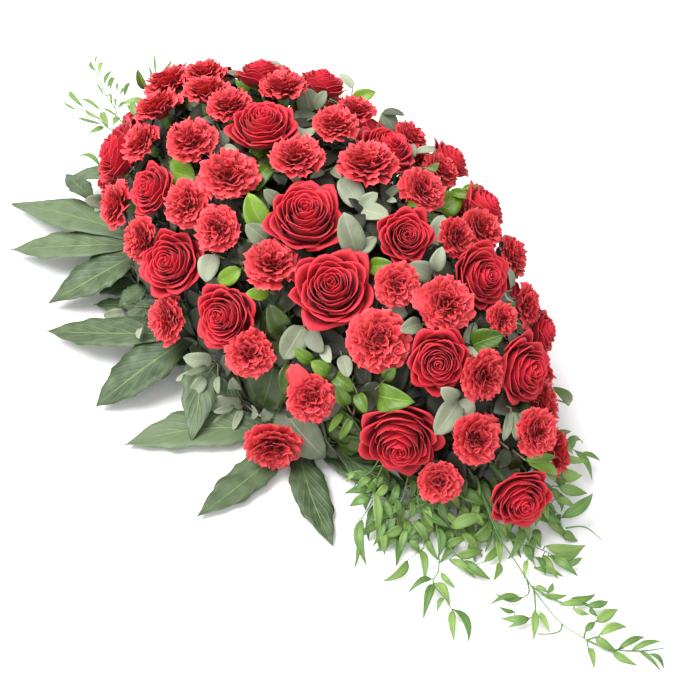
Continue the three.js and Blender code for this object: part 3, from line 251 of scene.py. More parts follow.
# Ruscus: each sprig's foot, its stems as pixels with a height, the first from the foot and the others too
# where they begin high, its leaves as the pixels of base and tip with a width, and a height where it isn't
# the skirt's, and its branches on the far side as places with how many leaves each has
RUSCUS_SPRIGS = [
    (
        (212, -14, 60),
        [
            [
                (497, 533, 24), (506, 548, 16), (517, 564, 11), (531, 586, 8),
                (546, 606, 8), (562, 624, 7), (587, 640, 6),
            ],
            [(587, 640, 6), (600, 646, 6), (616, 650, 6), (642, 651, 6), (665, 648, 6)],
            [(527, 580, 9), (529, 592, 8), (524, 597, 7), (512, 601, 6)],
            [(534, 590, 8), (535, 611, 7), (528, 619, 6), (514, 618, 6)],
            [(562, 624, 7), (560, 631, 6), (550, 634, 6), (538, 634, 6)],
            [(531, 586, 8), (544, 594, 8), (560, 602, 8), (580, 605, 8), (592, 604, 8)],
            [(584, 638, 7), (587, 628, 8), (596, 621, 8)], [(587, 640, 6), (600, 636, 7)],
            [(587, 640, 6), (588, 648, 6)], [(616, 650, 6), (624, 648, 6)], [(642, 651, 6), (650, 656, 6)],
            [(500, 533, 24), (520, 540, 17), (535, 547, 13), (549, 553, 11)],
            [(520, 540, 17), (530, 556, 11), (536, 568, 9)],
            [(555, 516, 26), (562, 528, 18), (578, 541, 13)],
            [(566, 528, 20), (585, 527, 18), (602, 540, 12)],
        ],
        [
            (524, 597, 495, 594, 6), (520, 597, 491, 604, 7), (515, 612, 499, 607, 5),
            (529, 618, 501, 618, 9), (529, 620, 508, 627, 6), (535, 611, 534, 638, 9),
            (540, 612, 549, 631, 7), (535, 586, 549, 593, 6), (548, 593, 553, 582, 6),
            (542, 595, 568, 595, 7), (560, 605, 590, 603, 8), (571, 598, 597, 594, 8),
            (586, 606, 610, 600, 9), (574, 609, 590, 614, 6), (590, 608, 597, 616, 6),
            (596, 622, 619, 609, 13), (585, 632, 596, 621, 8), (599, 635, 629, 626, 10),
            (595, 637, 618, 651, 11), (613, 652, 636, 665, 9), (618, 649, 647, 635, 8),
            (631, 651, 663, 640, 7), (640, 652, 661, 669, 5), (650, 654, 665, 667, 6),
            (589, 648, 595, 666, 8), (545, 546, 587, 545, 12), (548, 556, 583, 550, 11),
            (553, 557, 576, 575, 11), (568, 566, 583, 557, 7), (543, 555, 558, 576, 10),
            (535, 557, 547, 572, 10), (526, 544, 533, 562, 10), (534, 568, 564, 577, 7),
            (527, 560, 523, 578, 6),
        ],
        [],
    ),
    (
        (196, -28, 58),
        [
            [
                (432, 500, 34), (437, 530, 16), (439, 556, 9), (438, 572, 8),
                (433, 583, 8), (445, 598, 7), (452, 610, 7),
            ],
            [(404, 494, 38), (393, 514, 26), (386, 534, 14)],
            [(378, 476, 44), (374, 498, 34), (362, 518, 22)],
            [(372, 470, 48), (360, 478, 42), (351, 492, 36)],
            [(418, 498, 36), (422, 522, 20), (424, 548, 9)],
            [(445, 500, 34), (452, 522, 20), (462, 536, 12)],
            [(470, 500, 36), (484, 520, 22), (498, 540, 12), (500, 560, 8)],
            [(455, 478, 48), (468, 492, 38)], [(440, 530, 16), (452, 550, 9), (464, 561, 8), (474, 566, 8)],
        ],
        [
            (359, 520, 353, 569, 7), (362, 519, 366, 562, 12), (375, 492, 377, 536, 11),
            (371, 498, 349, 505, 12), (372, 478, 356, 490, 9), (355, 472, 346, 481, 6),
            (404, 505, 375, 525, 9), (403, 527, 382, 537, 12), (384, 531, 386, 553, 9),
            (407, 529, 401, 554, 9), (413, 521, 429, 544, 11), (408, 540, 420, 553, 10),
            (408, 560, 385, 581, 11), (421, 550, 426, 579, 9), (421, 508, 451, 527, 10),
            (441, 500, 450, 524, 10), (438, 527, 439, 557, 10), (443, 547, 469, 537, 10),
            (450, 528, 489, 515, 15), (456, 556, 484, 551, 11), (461, 532, 484, 555, 11),
            (472, 540, 493, 518, 18), (449, 560, 474, 578, 9), (462, 561, 491, 577, 12),
            (500, 563, 495, 580, 9), (484, 562, 502, 541, 10), (499, 541, 502, 564, 8),
            (457, 490, 486, 506, 15), (450, 487, 462, 510, 9), (469, 468, 477, 511, 13),
            (483, 480, 495, 509, 13), (502, 442, 509, 465, 12), (432, 579, 409, 590, 8),
            (434, 584, 424, 615, 10), (434, 583, 450, 602, 11), (444, 598, 437, 610, 6),
            (441, 573, 455, 587, 7), (453, 610, 455, 639, 9), (453, 609, 470, 639, 10),
            (384, 500, 392, 522, 9), (396, 498, 402, 520, 9), (412, 500, 408, 522, 8),
            (428, 505, 432, 528, 9), (446, 512, 466, 530, 9), (388, 484, 374, 500, 10),
            (470, 512, 486, 528, 9), (384, 520, 373, 545, 8), (395, 516, 386, 540, 9),
            (478, 500, 470, 524, 9), (364, 480, 378, 494, 9),
        ],
        [],
    ),
    (
        (214, 14, 60),
        [
            [(546, 444, 58), (556, 446, 54), (566, 446, 50)],
            [(545, 458, 56), (552, 458, 54), (560, 459, 50)],
            [(546, 472, 50), (554, 472, 47), (562, 472, 44)],
            [(546, 484, 46), (553, 486, 42), (562, 487, 38)],
            [(545, 498, 40), (553, 508, 32), (559, 516, 24)],
        ],
        [
            (558, 457, 589, 461, 9), (561, 443, 574, 453, 8), (560, 471, 583, 476, 14),
            (558, 486, 588, 494, 13), (561, 518, 595, 492, 14), (549, 468, 556, 482, 10),
            (550, 488, 560, 504, 10), (546, 500, 548, 520, 9), (552, 440, 572, 430, 9),
            (560, 448, 578, 440, 8), (548, 446, 545, 464, 9), (544, 510, 562, 524, 7),
            (540, 476, 548, 494, 11), (538, 500, 536, 526, 9), (556, 498, 575, 506, 9),
        ],
        [([(285, 50, 64), (312, 72, 40), (330, 92, 24)], 4)],
    ),
    (
        (-212, 12, 62),
        [
            [(121, 121, 176), (116, 110, 180), (105, 93, 184), (99, 81, 187), (95, 65, 190)],
            [(114, 131, 150), (106, 126, 146), (94, 115, 144), (84, 110, 143), (77, 108, 142)],
            [(158, 80, 190), (157, 75, 192)],
        ],
        [
            (95, 71, 91, 57, 4.5, 188), (96, 64, 96, 54, 2.5, 190), (99, 74, 107, 60, 5, 188),
            (104, 84, 112, 69, 5, 186), (107, 88, 115, 75, 3.5, 185), (110, 90, 117, 75, 4, 184),
            (117, 91, 117, 81, 3, 184), (120, 94, 123, 86, 4, 182), (124, 96, 132, 82, 5, 182),
            (104, 96, 95, 80, 2.5, 182), (145, 100, 120, 102, 8, 178), (136, 118, 125, 103, 10, 176),
            (115, 107, 114, 97, 3, 180), (118, 108, 124, 100, 4, 180), (112, 103, 110, 92, 3, 180),
            (83, 107, 66, 88, 6, 142), (100, 110, 80, 96, 5, 144), (77, 110, 62, 100, 2.5, 142),
            (101, 119, 84, 106, 4, 144), (108, 127, 102, 108, 8, 148), (113, 125, 120, 115, 7, 150),
            (101, 124, 76, 116, 4, 144), (104, 127, 89, 132, 6, 144), (117, 116, 101, 107, 3, 150),
            (100, 166, 74, 154, 7, 110), (156, 75, 153, 52, 3, 192), (150, 81, 146, 64, 2.5, 190),
            (159, 74, 171, 56, 3, 192),
        ],
        [([(-340, 96, 70), (-400, 120, 40), (-450, 138, 16)], 6)],
    ),
]


def add_object(name: str, data: bpy.types.ID) -> bpy.types.Object:
    """Puts an object with some data in the scene.

    Args:
        name: Its name.
        data: A mesh, a camera or a light.

    Returns:
        The object.
    """
    made = bpy.data.objects.new(name, data)
    bpy.context.collection.objects.link(made)
    return made


def aim(made: bpy.types.Object, place: Vector, way: Vector) -> None:
    """Places a camera or a lamp and turns it.

    Args:
        made: The camera or lamp.
        place: Where it stands, in metres.
        way: The way it looks.
    """
    made.location = place
    made.rotation_mode = "QUATERNION"
    made.rotation_quaternion = way.to_track_quat("-Z", "Y")


def even(number: int) -> tuple[float, float]:
    """The position of one of many points that lie evenly over a square of side 1."""
    return number * EVEN_STEPS[0] % 1, number * EVEN_STEPS[1] % 1


@dataclass(frozen=True)
class View:
    """The photograph's viewpoint.

    Attributes:
        target: The point that the middle of the frame shows, in millimetres.
        distance: From there to the lens, in millimetres.
        azimuth: Turn round the object, in degrees.
        elevation: Height above the horizon, in degrees.
        lens: Focal length in millimetres.
        sensor: Width of the sensor in millimetres.
        side: Width of the frame in pixels.
    """

    target: Point = (80, -41, 70)
    distance: float = 1605
    azimuth: float = 52.5
    elevation: float = 44.5
    lens: float = 72
    sensor: float = 36
    side: float = 700

    @property
    def focal(self) -> float:
        """The focal length in pixels."""
        return self.side * self.lens / self.sensor

    @property
    def back(self) -> Vector:
        """The direction from the target to the lens."""
        turn, rise = math.radians(self.azimuth), math.radians(self.elevation)
        return Vector((math.sin(turn) * math.cos(rise), -math.cos(turn) * math.cos(rise), math.sin(rise)))

    @property
    def right(self) -> Vector:
        """The frame's right in space."""
        turn = math.radians(self.azimuth)
        return Vector((math.cos(turn), math.sin(turn), 0))

    @property
    def up(self) -> Vector:
        """The frame's up in space."""
        return self.back.cross(self.right)

    @property
    def eye(self) -> Vector:
        """The lens's place."""
        return Vector(self.target) + self.back * self.distance

    def ray(self, px: float, py: float) -> Vector:
        """The direction in which a pixel looks.

        Args:
            px: Pixel from the left.
            py: Pixel from the top.

        Returns:
            The direction from the lens.
        """
        middle = self.side / 2
        way = -self.back + self.right * ((px - middle) / self.focal) - self.up * ((py - middle) / self.focal)
        return way.normalized()

    def on_level(self, px: float, py: float, height: float) -> Vector:
        """The point at a height that a pixel shows."""
        way = self.ray(px, py)
        return self.eye + way * ((height - self.eye.z) / way.z)

    def width(self, pixels: float, place: Vector) -> float:
        """How wide a run of pixels is at a place, in millimetres."""
        return pixels * (self.eye - place).dot(self.back) / self.focal

    def add_camera(self) -> None:
        """Makes the scene's camera."""
        data = bpy.data.cameras.new("camera")
        data.lens = self.lens
        data.sensor_width = self.sensor
        camera = add_object("camera", data)
        aim(camera, self.eye * MM, -self.back)
        bpy.context.scene.camera = camera


VIEW = View()


@dataclass(frozen=True)
class Mound:
    """The dome on which the bloom faces lie, in millimetres.

    Attributes:
        head: Where the broad end begins.
        crown: Where it is widest.
        tip: Where the thin end stops.
        half_width: Greatest half-width.
        height: Greatest height above the foot.
        foot: Height of its widest level.
        curve: How full it stays towards both ends.
        tail: How slender its thin end is.
        crest: How much less the height falls than the width.
        least: Its least half-width and height.
        sight: From where to where, seen from the lens, it is looked for.
        stride: In what steps.
        halvings: How often the last step is halved.
    """

    head: float = -385
    crown: float = -110
    tip: float = 395
    half_width: float = 196
    height: float = 240
    foot: float = 40
    curve: float = 2.2
    tail: float = 0.8
    crest: float = 0.75
    least: float = 4
    sight: tuple[int, int] = (900, 2500)
    stride: int = 4
    halvings: int = 16

    def section(self, x: float, depth: float = 0) -> tuple[float, float]:
        """The mound's section at a place along it.

        Args:
            x: The place.
            depth: How far it is drawn in.

        Returns:
            Half-width and height.
        """
        if x <= self.crown:
            share = min(1, (self.crown - x) / (self.crown - self.head))
            taper = math.sqrt(1 - share**self.curve)
        else:
            share = min(1, (x - self.crown) / (self.tip - self.crown))
            taper = (1 - share**self.curve) ** self.tail
        width = self.half_width * taper - depth
        height = self.height * taper**self.crest - depth
        return max(self.least, width), max(self.least, height)

    def value(self, place: Vector, depth: float = 0) -> float:
        """Tells whether a place lies in the mound.

        Args:
            place: The place.
            depth: How far the mound is drawn in.

        Returns:
            Below 1 inside, 1 on the surface, and far more beyond both ends.
        """
        if place.x <= self.head + 1 or place.x >= self.tip - 1:
            return 30 + abs(place.x)
        width, height = self.section(place.x, depth)
        return (place.y / width) ** 2 + ((place.z - self.foot) / height) ** 2

    def normal(self, place: Vector) -> Vector:
        """The outward direction of the surface."""
        steps = (Vector((2, 0, 0)), Vector((0, 2, 0)), Vector((0, 0, 2)))
        return Vector([self.value(place + step) - self.value(place - step) for step in steps]).normalized()

    def shown(self, px: float, py: float, depth: float = 0) -> Vector:
        """The point that a pixel shows, or the nearest to it where the pixel lies just outside.

        Args:
            px: Pixel from the left.
            py: Pixel from the top.
            depth: How far below the bloom faces.

        Returns:
            The place in millimetres.
        """
        way, eye = VIEW.ray(px, py), VIEW.eye
        nearest, far = math.inf, 0
        for reach in range(*self.sight, self.stride):
            value = self.value(eye + way * reach, depth)
            if value < nearest:
                nearest, far = value, reach
            if value < 1:
                break
        if nearest >= 1:
            return eye + way * far
        outside, inside = far - self.stride, far
        for _ in range(self.halvings):
            middle = (outside + inside) / 2
            if self.value(eye + way * middle, depth) < 1:
                inside = middle
            else:
                outside = middle
        return eye + way * inside

    def around(self, x: float, degrees: float, depth: float = 0) -> Vector:
        """A place on the mound.

        Args:
            x: The place along it.
            degrees: The angle round it from its near foot.
            depth: How far below the bloom faces.

        Returns:
            The place in millimetres.
        """
        width, height = self.section(x, depth)
        angle = math.radians(degrees)
        return Vector((x, -width * math.cos(angle), self.foot + height * math.sin(angle)))


MOUND = Mound()


class Plant(Enum):
    """What the arrangement is made of: the record's slot of each plant."""

    ROSE = "rose"
    CARNATION = "carnation"
    FATSIA = "fatsia"
    EUCALYPTUS = "eucalyptus"
    SALAL = "salal"
    RUSCUS = "ruscus"


# The first seed of each plant's random draws
SEEDS = {
    Plant.ROSE: 500,
    Plant.CARNATION: 600,
    Plant.FATSIA: 700,
    Plant.RUSCUS: 800,
    Plant.EUCALYPTUS: 900,
    Plant.SALAL: 950,
}
# How deep a bloom is, as a share of its radius
BLOOM_DEPTHS = {Plant.ROSE: 1.14, Plant.CARNATION: 1.3}
# The outline that leaves keep clear of round a bloom: radius and height as shares of its radius
HULLS = {
    Plant.ROSE: [
        (0, -0.03), (0.26, 0.04), (0.72, 0.36), (1.1, 0.72), (1.12, 0.98), (0.72, 1.26), (0, 1.4),
    ],
    Plant.CARNATION: [
        (0, -0.03), (0.2, 0.08), (0.36, 0.6), (1.08, 0.92), (1.14, 1.16), (0.72, 1.5), (0, 1.55),
    ],
}


@dataclass(eq=False)
class Bloom:
    """One bloom's place, in millimetres.

    Attributes:
        kind: Rose or carnation.
        face: Middle of its face.
        axis: The way it faces.
        radius: Half its width.
        plain: The way that one large smooth petal lies, where it has one, as long as its reach.
        start: The first place of its face.
        planes: Normal and offset of the planes that part it from its neighbours.
        bulk: How far below the face the middle of its bulk lies, as a share of the radius.
        full: How much wider the dressed bloom is than its radius, from the front and more from the side.
        near: How far apart neighbours are at most, as a share of the sum of their radii.
        parting: The least and greatest share of the way to a neighbour that is its own.
        give: How far a petal that would stand in a neighbour is pressed back.
    """

    kind: Plant
    face: Vector
    axis: Vector
    radius: float
    plain: Vector | None = None
    start: Vector = field(init=False)
    planes: list[tuple[Vector, float]] = field(default_factory=list)
    bulk: float = 0.35
    full: tuple[float, float] = (1.06, 0.16)
    near: float = 1.25
    parting: tuple[float, float] = (0.36, 0.64)
    give: float = 0.82

    def __post_init__(self) -> None:
        """Keeps the first place of the face."""
        self.start = self.face.copy()

    @property
    def base(self) -> Vector:
        """Where the stem meets the bloom."""
        return self.face - self.axis * (BLOOM_DEPTHS[self.kind] * self.radius)

    @property
    def heart(self) -> Vector:
        """The middle of its bulk."""
        return self.face - self.axis * (self.bulk * self.radius)

    @property
    def size(self) -> float:
        """The radius of the dressed bloom, which is a little fuller where it is seen from the side."""
        return self.radius * (self.full[0] + self.full[1] * (1 - max(0, self.axis.dot(VIEW.back))))

    @property
    def frame(self) -> tuple[Vector, Vector]:
        """Two directions square to the axis."""
        side = (UP if abs(self.axis.z) < 0.9 else VIEW.right).cross(self.axis).normalized()
        return side, self.axis.cross(side)

    def outward(self, angle: float) -> Vector:
        """The direction square to the axis at an angle round it."""
        side, front = self.frame
        return side * math.cos(angle) + front * math.sin(angle)

    def part_from(self, others: Iterable["Bloom"]) -> None:
        """Works out the planes that part it from its neighbours.

        Args:
            others: The blooms among which they are.
        """
        for other in others:
            across = other.heart - self.heart
            distance = across.length
            if other is self or distance > self.near * (self.radius + other.radius):
                continue
            share = (distance**2 + self.radius**2 - other.radius**2) / (2 * distance**2)
            least, most = self.parting
            reach = distance * min(most, max(least, share))
            normal = across.normalized()
            self.planes.append((normal, normal.dot(self.heart) + reach))

    def pressed(self, place: Vector) -> Vector:
        """Presses a petal's point back where it would stand in a neighbour.

        Args:
            place: The point.

        Returns:
            The point after it.
        """
        for normal, offset in self.planes:
            beyond = normal.dot(place) - offset
            if beyond > 0:
                place = place - normal * (beyond * self.give)
        return place

    def gap(self, place: Vector) -> float:
        """Measures how far a point lies outside the bloom's outline.

        Args:
            place: The point.

        Returns:
            The distance, below zero inside and without end above and below the bloom.
        """
        away = place - self.base
        height = away.dot(self.axis) / self.radius
        outline = HULLS[self.kind]
        for (r0, h0), (r1, h1) in zip(outline, outline[1:]):
            if h0 <= height < h1:
                reach = r0 + (r1 - r0) * (height - h0) / (h1 - h0)
                off = math.sqrt(max(0, away.length_squared - (height * self.radius) ** 2))
                return off - reach * self.radius
        return math.inf


@dataclass(frozen=True)
class Leaf:
    """One leaf's place, in millimetres.

    Attributes:
        base: Where it is attached.
        tip: Its far end.
        width: Its greatest width.
        facing: The way its face looks.
        lightness: From 0 for a dark leaf to 1 for a light one: painted shade, but a random tone on ruscus.
        stalk: The share of the way from base to tip that its stalk takes.
    """

    base: Vector
    tip: Vector
    width: float
    facing: Vector
    lightness: float = 1
    stalk: float = 0

    @property
    def root(self) -> Vector:
        """Where the blade begins."""
        return self.base.lerp(self.tip, self.stalk)

    def marks(self) -> list[Vector]:
        """Gives the points by which its distance from the blooms is told.

        Returns:
            Points along and beside the blade.
        """
        across = (self.tip - self.base).cross(self.facing).normalized() * (self.width / 2)
        middle = self.base.lerp(self.tip, 0.5)
        return [self.base, middle, self.tip, middle + across, middle - across]

    def add(self, bm: Mesh, shape: "LeafForm", random: Random) -> None:
        """Adds the blade to a mesh.

        Args:
            bm: The mesh that it joins.
            shape: Its kind's shape.
            random: Draws for its small differences.
        """
        root = self.root
        way = self.tip - root
        length = way.length
        way.normalize()
        across = way.cross(self.facing).normalized()
        normal = across.cross(way)
        arch = shape.arch * random.uniform(0.4, 1.5)
        twist = random.uniform(-0.14, 0.14)
        sway = shape.sway * random.uniform(-1, 1)
        phase = random.uniform(0, math.tau)
        chance = random.random()

        def form(u: float, v: float) -> Vector:
            """Places a point of it.

            Args:
                u: Across, from -1 to 1.
                v: Along, from 0 to 1.

            Returns:
                The place.
            """
            outline = math.sin(math.pi * min(1, v) ** shape.belly) ** shape.fullness if 0 < v < 1 else 0.02
            out = u * outline * self.width / 2
            lift = shape.fold * abs(out) * 2 + twist * out * v * 2
            lift += length * arch * 4 * v * (1 - v) - length * arch * v * v
            lift += shape.wave * self.width * math.sin(9 * v + phase) * u * u * outline
            out += length * sway * 4 * v * (1 - v)
            return root + way * (length * v) + across * out + normal * lift

        # The leaf's lightness becomes the fourth value, which darkens the blade as painted shade, on ruscus
        # as a random tone
        add_sheet(bm, shape.across, shape.along, form, lambda u, v: (v, abs(u), chance), self.lightness)


@dataclass
class Bouquet:
    """All the blooms, with those that would stand in each other moved apart a little.

    Attributes:
        press: The least distance between two faces, as a share of the sum of their radii.
        most: How far a face may be moved, in millimetres.
        rounds: How often each pair is looked at.
        step: The share of what they lack that each of a pair gives way by at a time.
        lean: How far a turned face lies out to its own side, as a share of its radius.
        stations: Where a stalk's distance from the blooms is told, as shares of its length.
        enough: The distance from the blooms beyond which more is no better.
        roses: All the roses.
        carnations: All the carnations, by name.
    """

    press: float = 0.86
    most: float = 9
    rounds: int = 30
    step: float = 0.25
    lean: float = 0.28
    stations: tuple[float, ...] = (0.3, 0.65, 1)
    enough: float = 4
    roses: list[Bloom] = field(init=False)
    carnations: dict[str, Bloom] = field(init=False)

    def __post_init__(self) -> None:
        """Places the blooms and settles them."""
        self.roses = [self.shown(Plant.ROSE, *row) for row in SHOWN_ROSES]
        self.roses += [self.far(Plant.ROSE, *row) for row in FAR_ROSES]
        self.carnations = {name: self.shown(Plant.CARNATION, *row) for name, row in SHOWN_CARNATIONS.items()}
        self.carnations |= {name: self.far(Plant.CARNATION, *row) for name, row in FAR_CARNATIONS.items()}
        for name, (right, up, reach) in PLAIN_PETALS.items():
            self.carnations[name].plain = (VIEW.right * right + VIEW.up * up).normalized() * reach
        for _ in range(self.rounds):
            self.settle()
        for bloom in self.blooms:
            bloom.part_from(self.blooms)

    @property
    def blooms(self) -> list[Bloom]:
        """The roses, then the carnations."""
        return [*self.roses, *self.carnations.values()]

    def shown(
        self, kind: Plant, px: float, py: float, pixels: float, right: float, up: float, height: float = 0
    ) -> Bloom:
        """Places a bloom that the photograph shows.

        Args:
            kind: Rose or carnation.
            px: Pixel of its middle from the left.
            py: Pixel of its middle from the top.
            pixels: Its width in pixels.
            right: How far it faces right in the frame.
            up: How far it faces up.
            height: Its height where it lies below the mound.

        Returns:
            The bloom.
        """
        face = VIEW.on_level(px, py, height) if height else MOUND.shown(px, py)
        axis = VIEW.back * math.sqrt(1 - right**2 - up**2) + VIEW.right * right + VIEW.up * up
        radius = VIEW.width(pixels, face) / 2
        face += (VIEW.right * right + VIEW.up * up) * (self.lean * radius)
        return Bloom(kind, face, axis.normalized(), radius)

    @staticmethod
    def far(kind: Plant, x: float, degrees: float, radius: float, depth: float = 0) -> Bloom:
        """A bloom of the far side."""
        return Bloom(kind, MOUND.around(x, degrees, depth), MOUND.normal(MOUND.around(x, degrees)), radius)

    def settle(self) -> None:
        """Moves each pair that is too near apart by a step."""
        blooms = self.blooms
        for index, one in enumerate(blooms):
            for other in blooms[index + 1 :]:
                apart = other.face - one.face
                short = self.press * (one.radius + other.radius) - apart.length
                if short > 0:
                    step = apart.normalized() * (short * self.step)
                    one.face = one.face - step
                    other.face = other.face + step
        for bloom in blooms:
            moved = bloom.face - bloom.start
            if moved.length > self.most:
                bloom.face = bloom.start + moved.normalized() * self.most

    def clearest(self, places: list[Vector], start: Vector | None, reach: float) -> Vector:
        """Picks the place of several that lies clearest of the blooms.

        Args:
            places: The places.
            start: Where a stalk to them begins, if there is one.
            reach: Half the width of what goes there.

        Returns:
            The place.
        """
        best, chosen = -math.inf, places[0]
        for place in places:
            ways = [start.lerp(place, share) for share in self.stations] if start else [place]
            least = min(bloom.gap(way) for way in ways for bloom in self.blooms)
            gap = min(self.enough, least - reach)
            if gap > best:
                best, chosen = gap, place
        return chosen


class Sock:
    """A shader socket on which Python's operators add Math nodes."""

    def __init__(self, tree: bpy.types.NodeTree, socket: bpy.types.NodeSocket) -> None:
        """Wraps an output socket of a tree."""
        self.tree = tree
        self.socket = socket

    def math(self, operation: str, *values: "Sock | float") -> "Sock":
        """Adds a Math node on this value and others.

        Args:
            operation: The node's operation.
            values: What feeds its inputs, in order.

        Returns:
            Its output.
        """
        node = self.tree.nodes.new("ShaderNodeMath")
        node.operation = operation
        for slot, value in zip(node.inputs, values):
            if isinstance(value, Sock):
                self.tree.links.new(value.socket, slot)
            else:
                slot.default_value = value
        return Sock(self.tree, node.outputs[0])

    def __add__(self, other: "Sock | float") -> "Sock":
        """Sum."""
        return self.math("ADD", self, other)

    __radd__ = __add__

    def __mul__(self, other: "Sock | float") -> "Sock":
        """Product."""
        return self.math("MULTIPLY", self, other)

    __rmul__ = __mul__

    def __sub__(self, other: "Sock | float") -> "Sock":
        """Difference."""
        return self.math("SUBTRACT", self, other)

    def __rsub__(self, other: float) -> "Sock":
        """Difference from a number."""
        return self.math("SUBTRACT", other, self)

    def __truediv__(self, other: "Sock | float") -> "Sock":
        """Quotient."""
        return self.math("DIVIDE", self, other)

    def __pow__(self, other: float) -> "Sock":
        """Power."""
        return self.math("POWER", self, other)

    def wave(self) -> "Sock":
        """The value's sine, from 0 to 1."""
        return self.math("SINE", self) * 0.5 + 0.5

    def clamped(self) -> "Sock":
        """Keeps the value between 0 and 1.

        Returns:
            The value kept.
        """
        made = self * 1.0
        made.socket.node.use_clamp = True
        return made


class Shader:
    """A material under construction."""

    def __init__(self, name: str) -> None:
        """Starts a material with one principled shader.

        Args:
            name: The material's name.
        """
        self.material = bpy.data.materials.new(name)
        self.material.use_nodes = True
        self.tree = self.material.node_tree
        self.surface = self.tree.nodes["Principled BSDF"]

    def node(self, kind: str, settings: dict[str, object], inputs: dict[str | int, object]) -> bpy.types.Node:
        """Adds a node.

        Args:
            kind: The node's type.
            settings: What is set on the node itself, first.
            inputs: A value or a Sock for each named or numbered input.

        Returns:
            The node.
        """
        made = self.tree.nodes.new(kind)
        for name, value in settings.items():
            setattr(made, name, value)
        for name, value in inputs.items():
            if isinstance(value, Sock):
                self.tree.links.new(value.socket, made.inputs[name])
            else:
                made.inputs[name].default_value = value
        return made

    def out(self, node: bpy.types.Node, name: str | int = 0) -> Sock:
        """One of a node's outputs."""
        return Sock(self.tree, node.outputs[name])

    def form(self) -> tuple[Sock, Sock, Sock, Sock]:
        """Reads the four values that each vertex of a piece carries.

        Returns:
            How far along, across or outward it lies, its part's draw, and how light a leaf is drawn, which is
            painted shade, but a random tone on ruscus.
        """
        attribute = self.node("ShaderNodeAttribute", {"attribute_name": FORM}, {})
        split = self.node("ShaderNodeSeparateColor", {}, {0: self.out(attribute, "Color")})
        return self.out(split, 0), self.out(split, 1), self.out(split, 2), self.out(attribute, "Alpha")

    def noise(self, scale: float, detail: float = 3) -> Sock:
        """Noise over the object, from 0 to 1, at a scale per metre and with some finer layers."""
        inputs = {"Vector": self.out(self.node("ShaderNodeTexCoord", {}, {}), "Object"), "Scale": scale}
        return self.out(self.node("ShaderNodeTexNoise", {}, {**inputs, "Detail": detail}))

    def mixed(self, share: Sock, low: Point | Sock, high: Point | Sock) -> Sock:
        """Mixes two colours.

        Args:
            share: How much of the second.
            low: The first colour.
            high: The second colour.

        Returns:
            The colour between them.
        """
        made = self.node("ShaderNodeMix", {"data_type": "RGBA"}, {0: share})
        for index, colour in ((6, low), (7, high)):
            if isinstance(colour, Sock):
                self.tree.links.new(colour.socket, made.inputs[index])
            else:
                made.inputs[index].default_value = (*colour, 1)
        return self.out(made, 2)

    def feed(self, name: str, value: Sock) -> None:
        """Links a value to one of the surface's sockets."""
        self.tree.links.new(value.socket, self.surface.inputs[name])

    def bump(self, height: Sock, strength: float, distance: float) -> None:
        """Raises the surface by a height.

        Args:
            height: From 0 to 1.
            strength: Share of the effect.
            distance: Depth in metres.
        """
        made = self.node("ShaderNodeBump", {}, {"Strength": strength, "Distance": distance, "Height": height})
        self.feed("Normal", self.out(made, "Normal"))

    def constants(self, **values: float) -> None:
        """Sets the surface's own sockets, named with underscores for spaces."""
        for name, value in values.items():
            self.surface.inputs[name.replace("_", " ")].default_value = value


@dataclass(frozen=True)
class PetalFinish:
    """Velvety petals with painted shade towards the heart and a painted highlight along their edges.

    Attributes:
        name: The material's name.
        deep: Colour at the petal's foot, painted shade deep in the bloom.
        heart: Colour of the middle of the inner petals.
        body: Colour of the middle of the outer ones.
        rim: Colour of its edge, a painted highlight.
        pale: Colour that some petals lean to.
        vein: Depth of the fine lines along a petal, in metres.
        sheen: Strength of the velvet.
    """

    name: str
    deep: Point
    heart: Point
    body: Point
    rim: Point
    pale: Point
    vein: float
    sheen: float

    def build(self) -> bpy.types.Material:
        """Makes the material.

        Returns:
            The material.
        """
        shader = Shader(self.name)
        along, outer, chance, _ = shader.form()
        body = shader.mixed((outer * 1.3 - 0.15).clamped(), self.heart, self.body)
        # Painted shade: the lower part of each petal, down in the bloom, is drawn in the dark colour
        colour = shader.mixed(((along - 0.35) * 1.6).clamped(), self.deep, body)
        # Painted highlight along the petal's outer edge
        colour = shader.mixed((((along - 0.86) * 7).clamped() * 0.7), colour, self.rim)
        colour = shader.mixed((chance * 0.45 * (outer * 0.6 + 0.4)).clamped(), colour, self.pale)
        shader.feed("Base Color", colour)
        shader.bump(shader.noise(900), 0.35, self.vein)
        shader.constants(Roughness=0.58, Sheen_Weight=self.sheen, Sheen_Roughness=0.4, Specular_IOR_Level=0.3)
        return shader.material


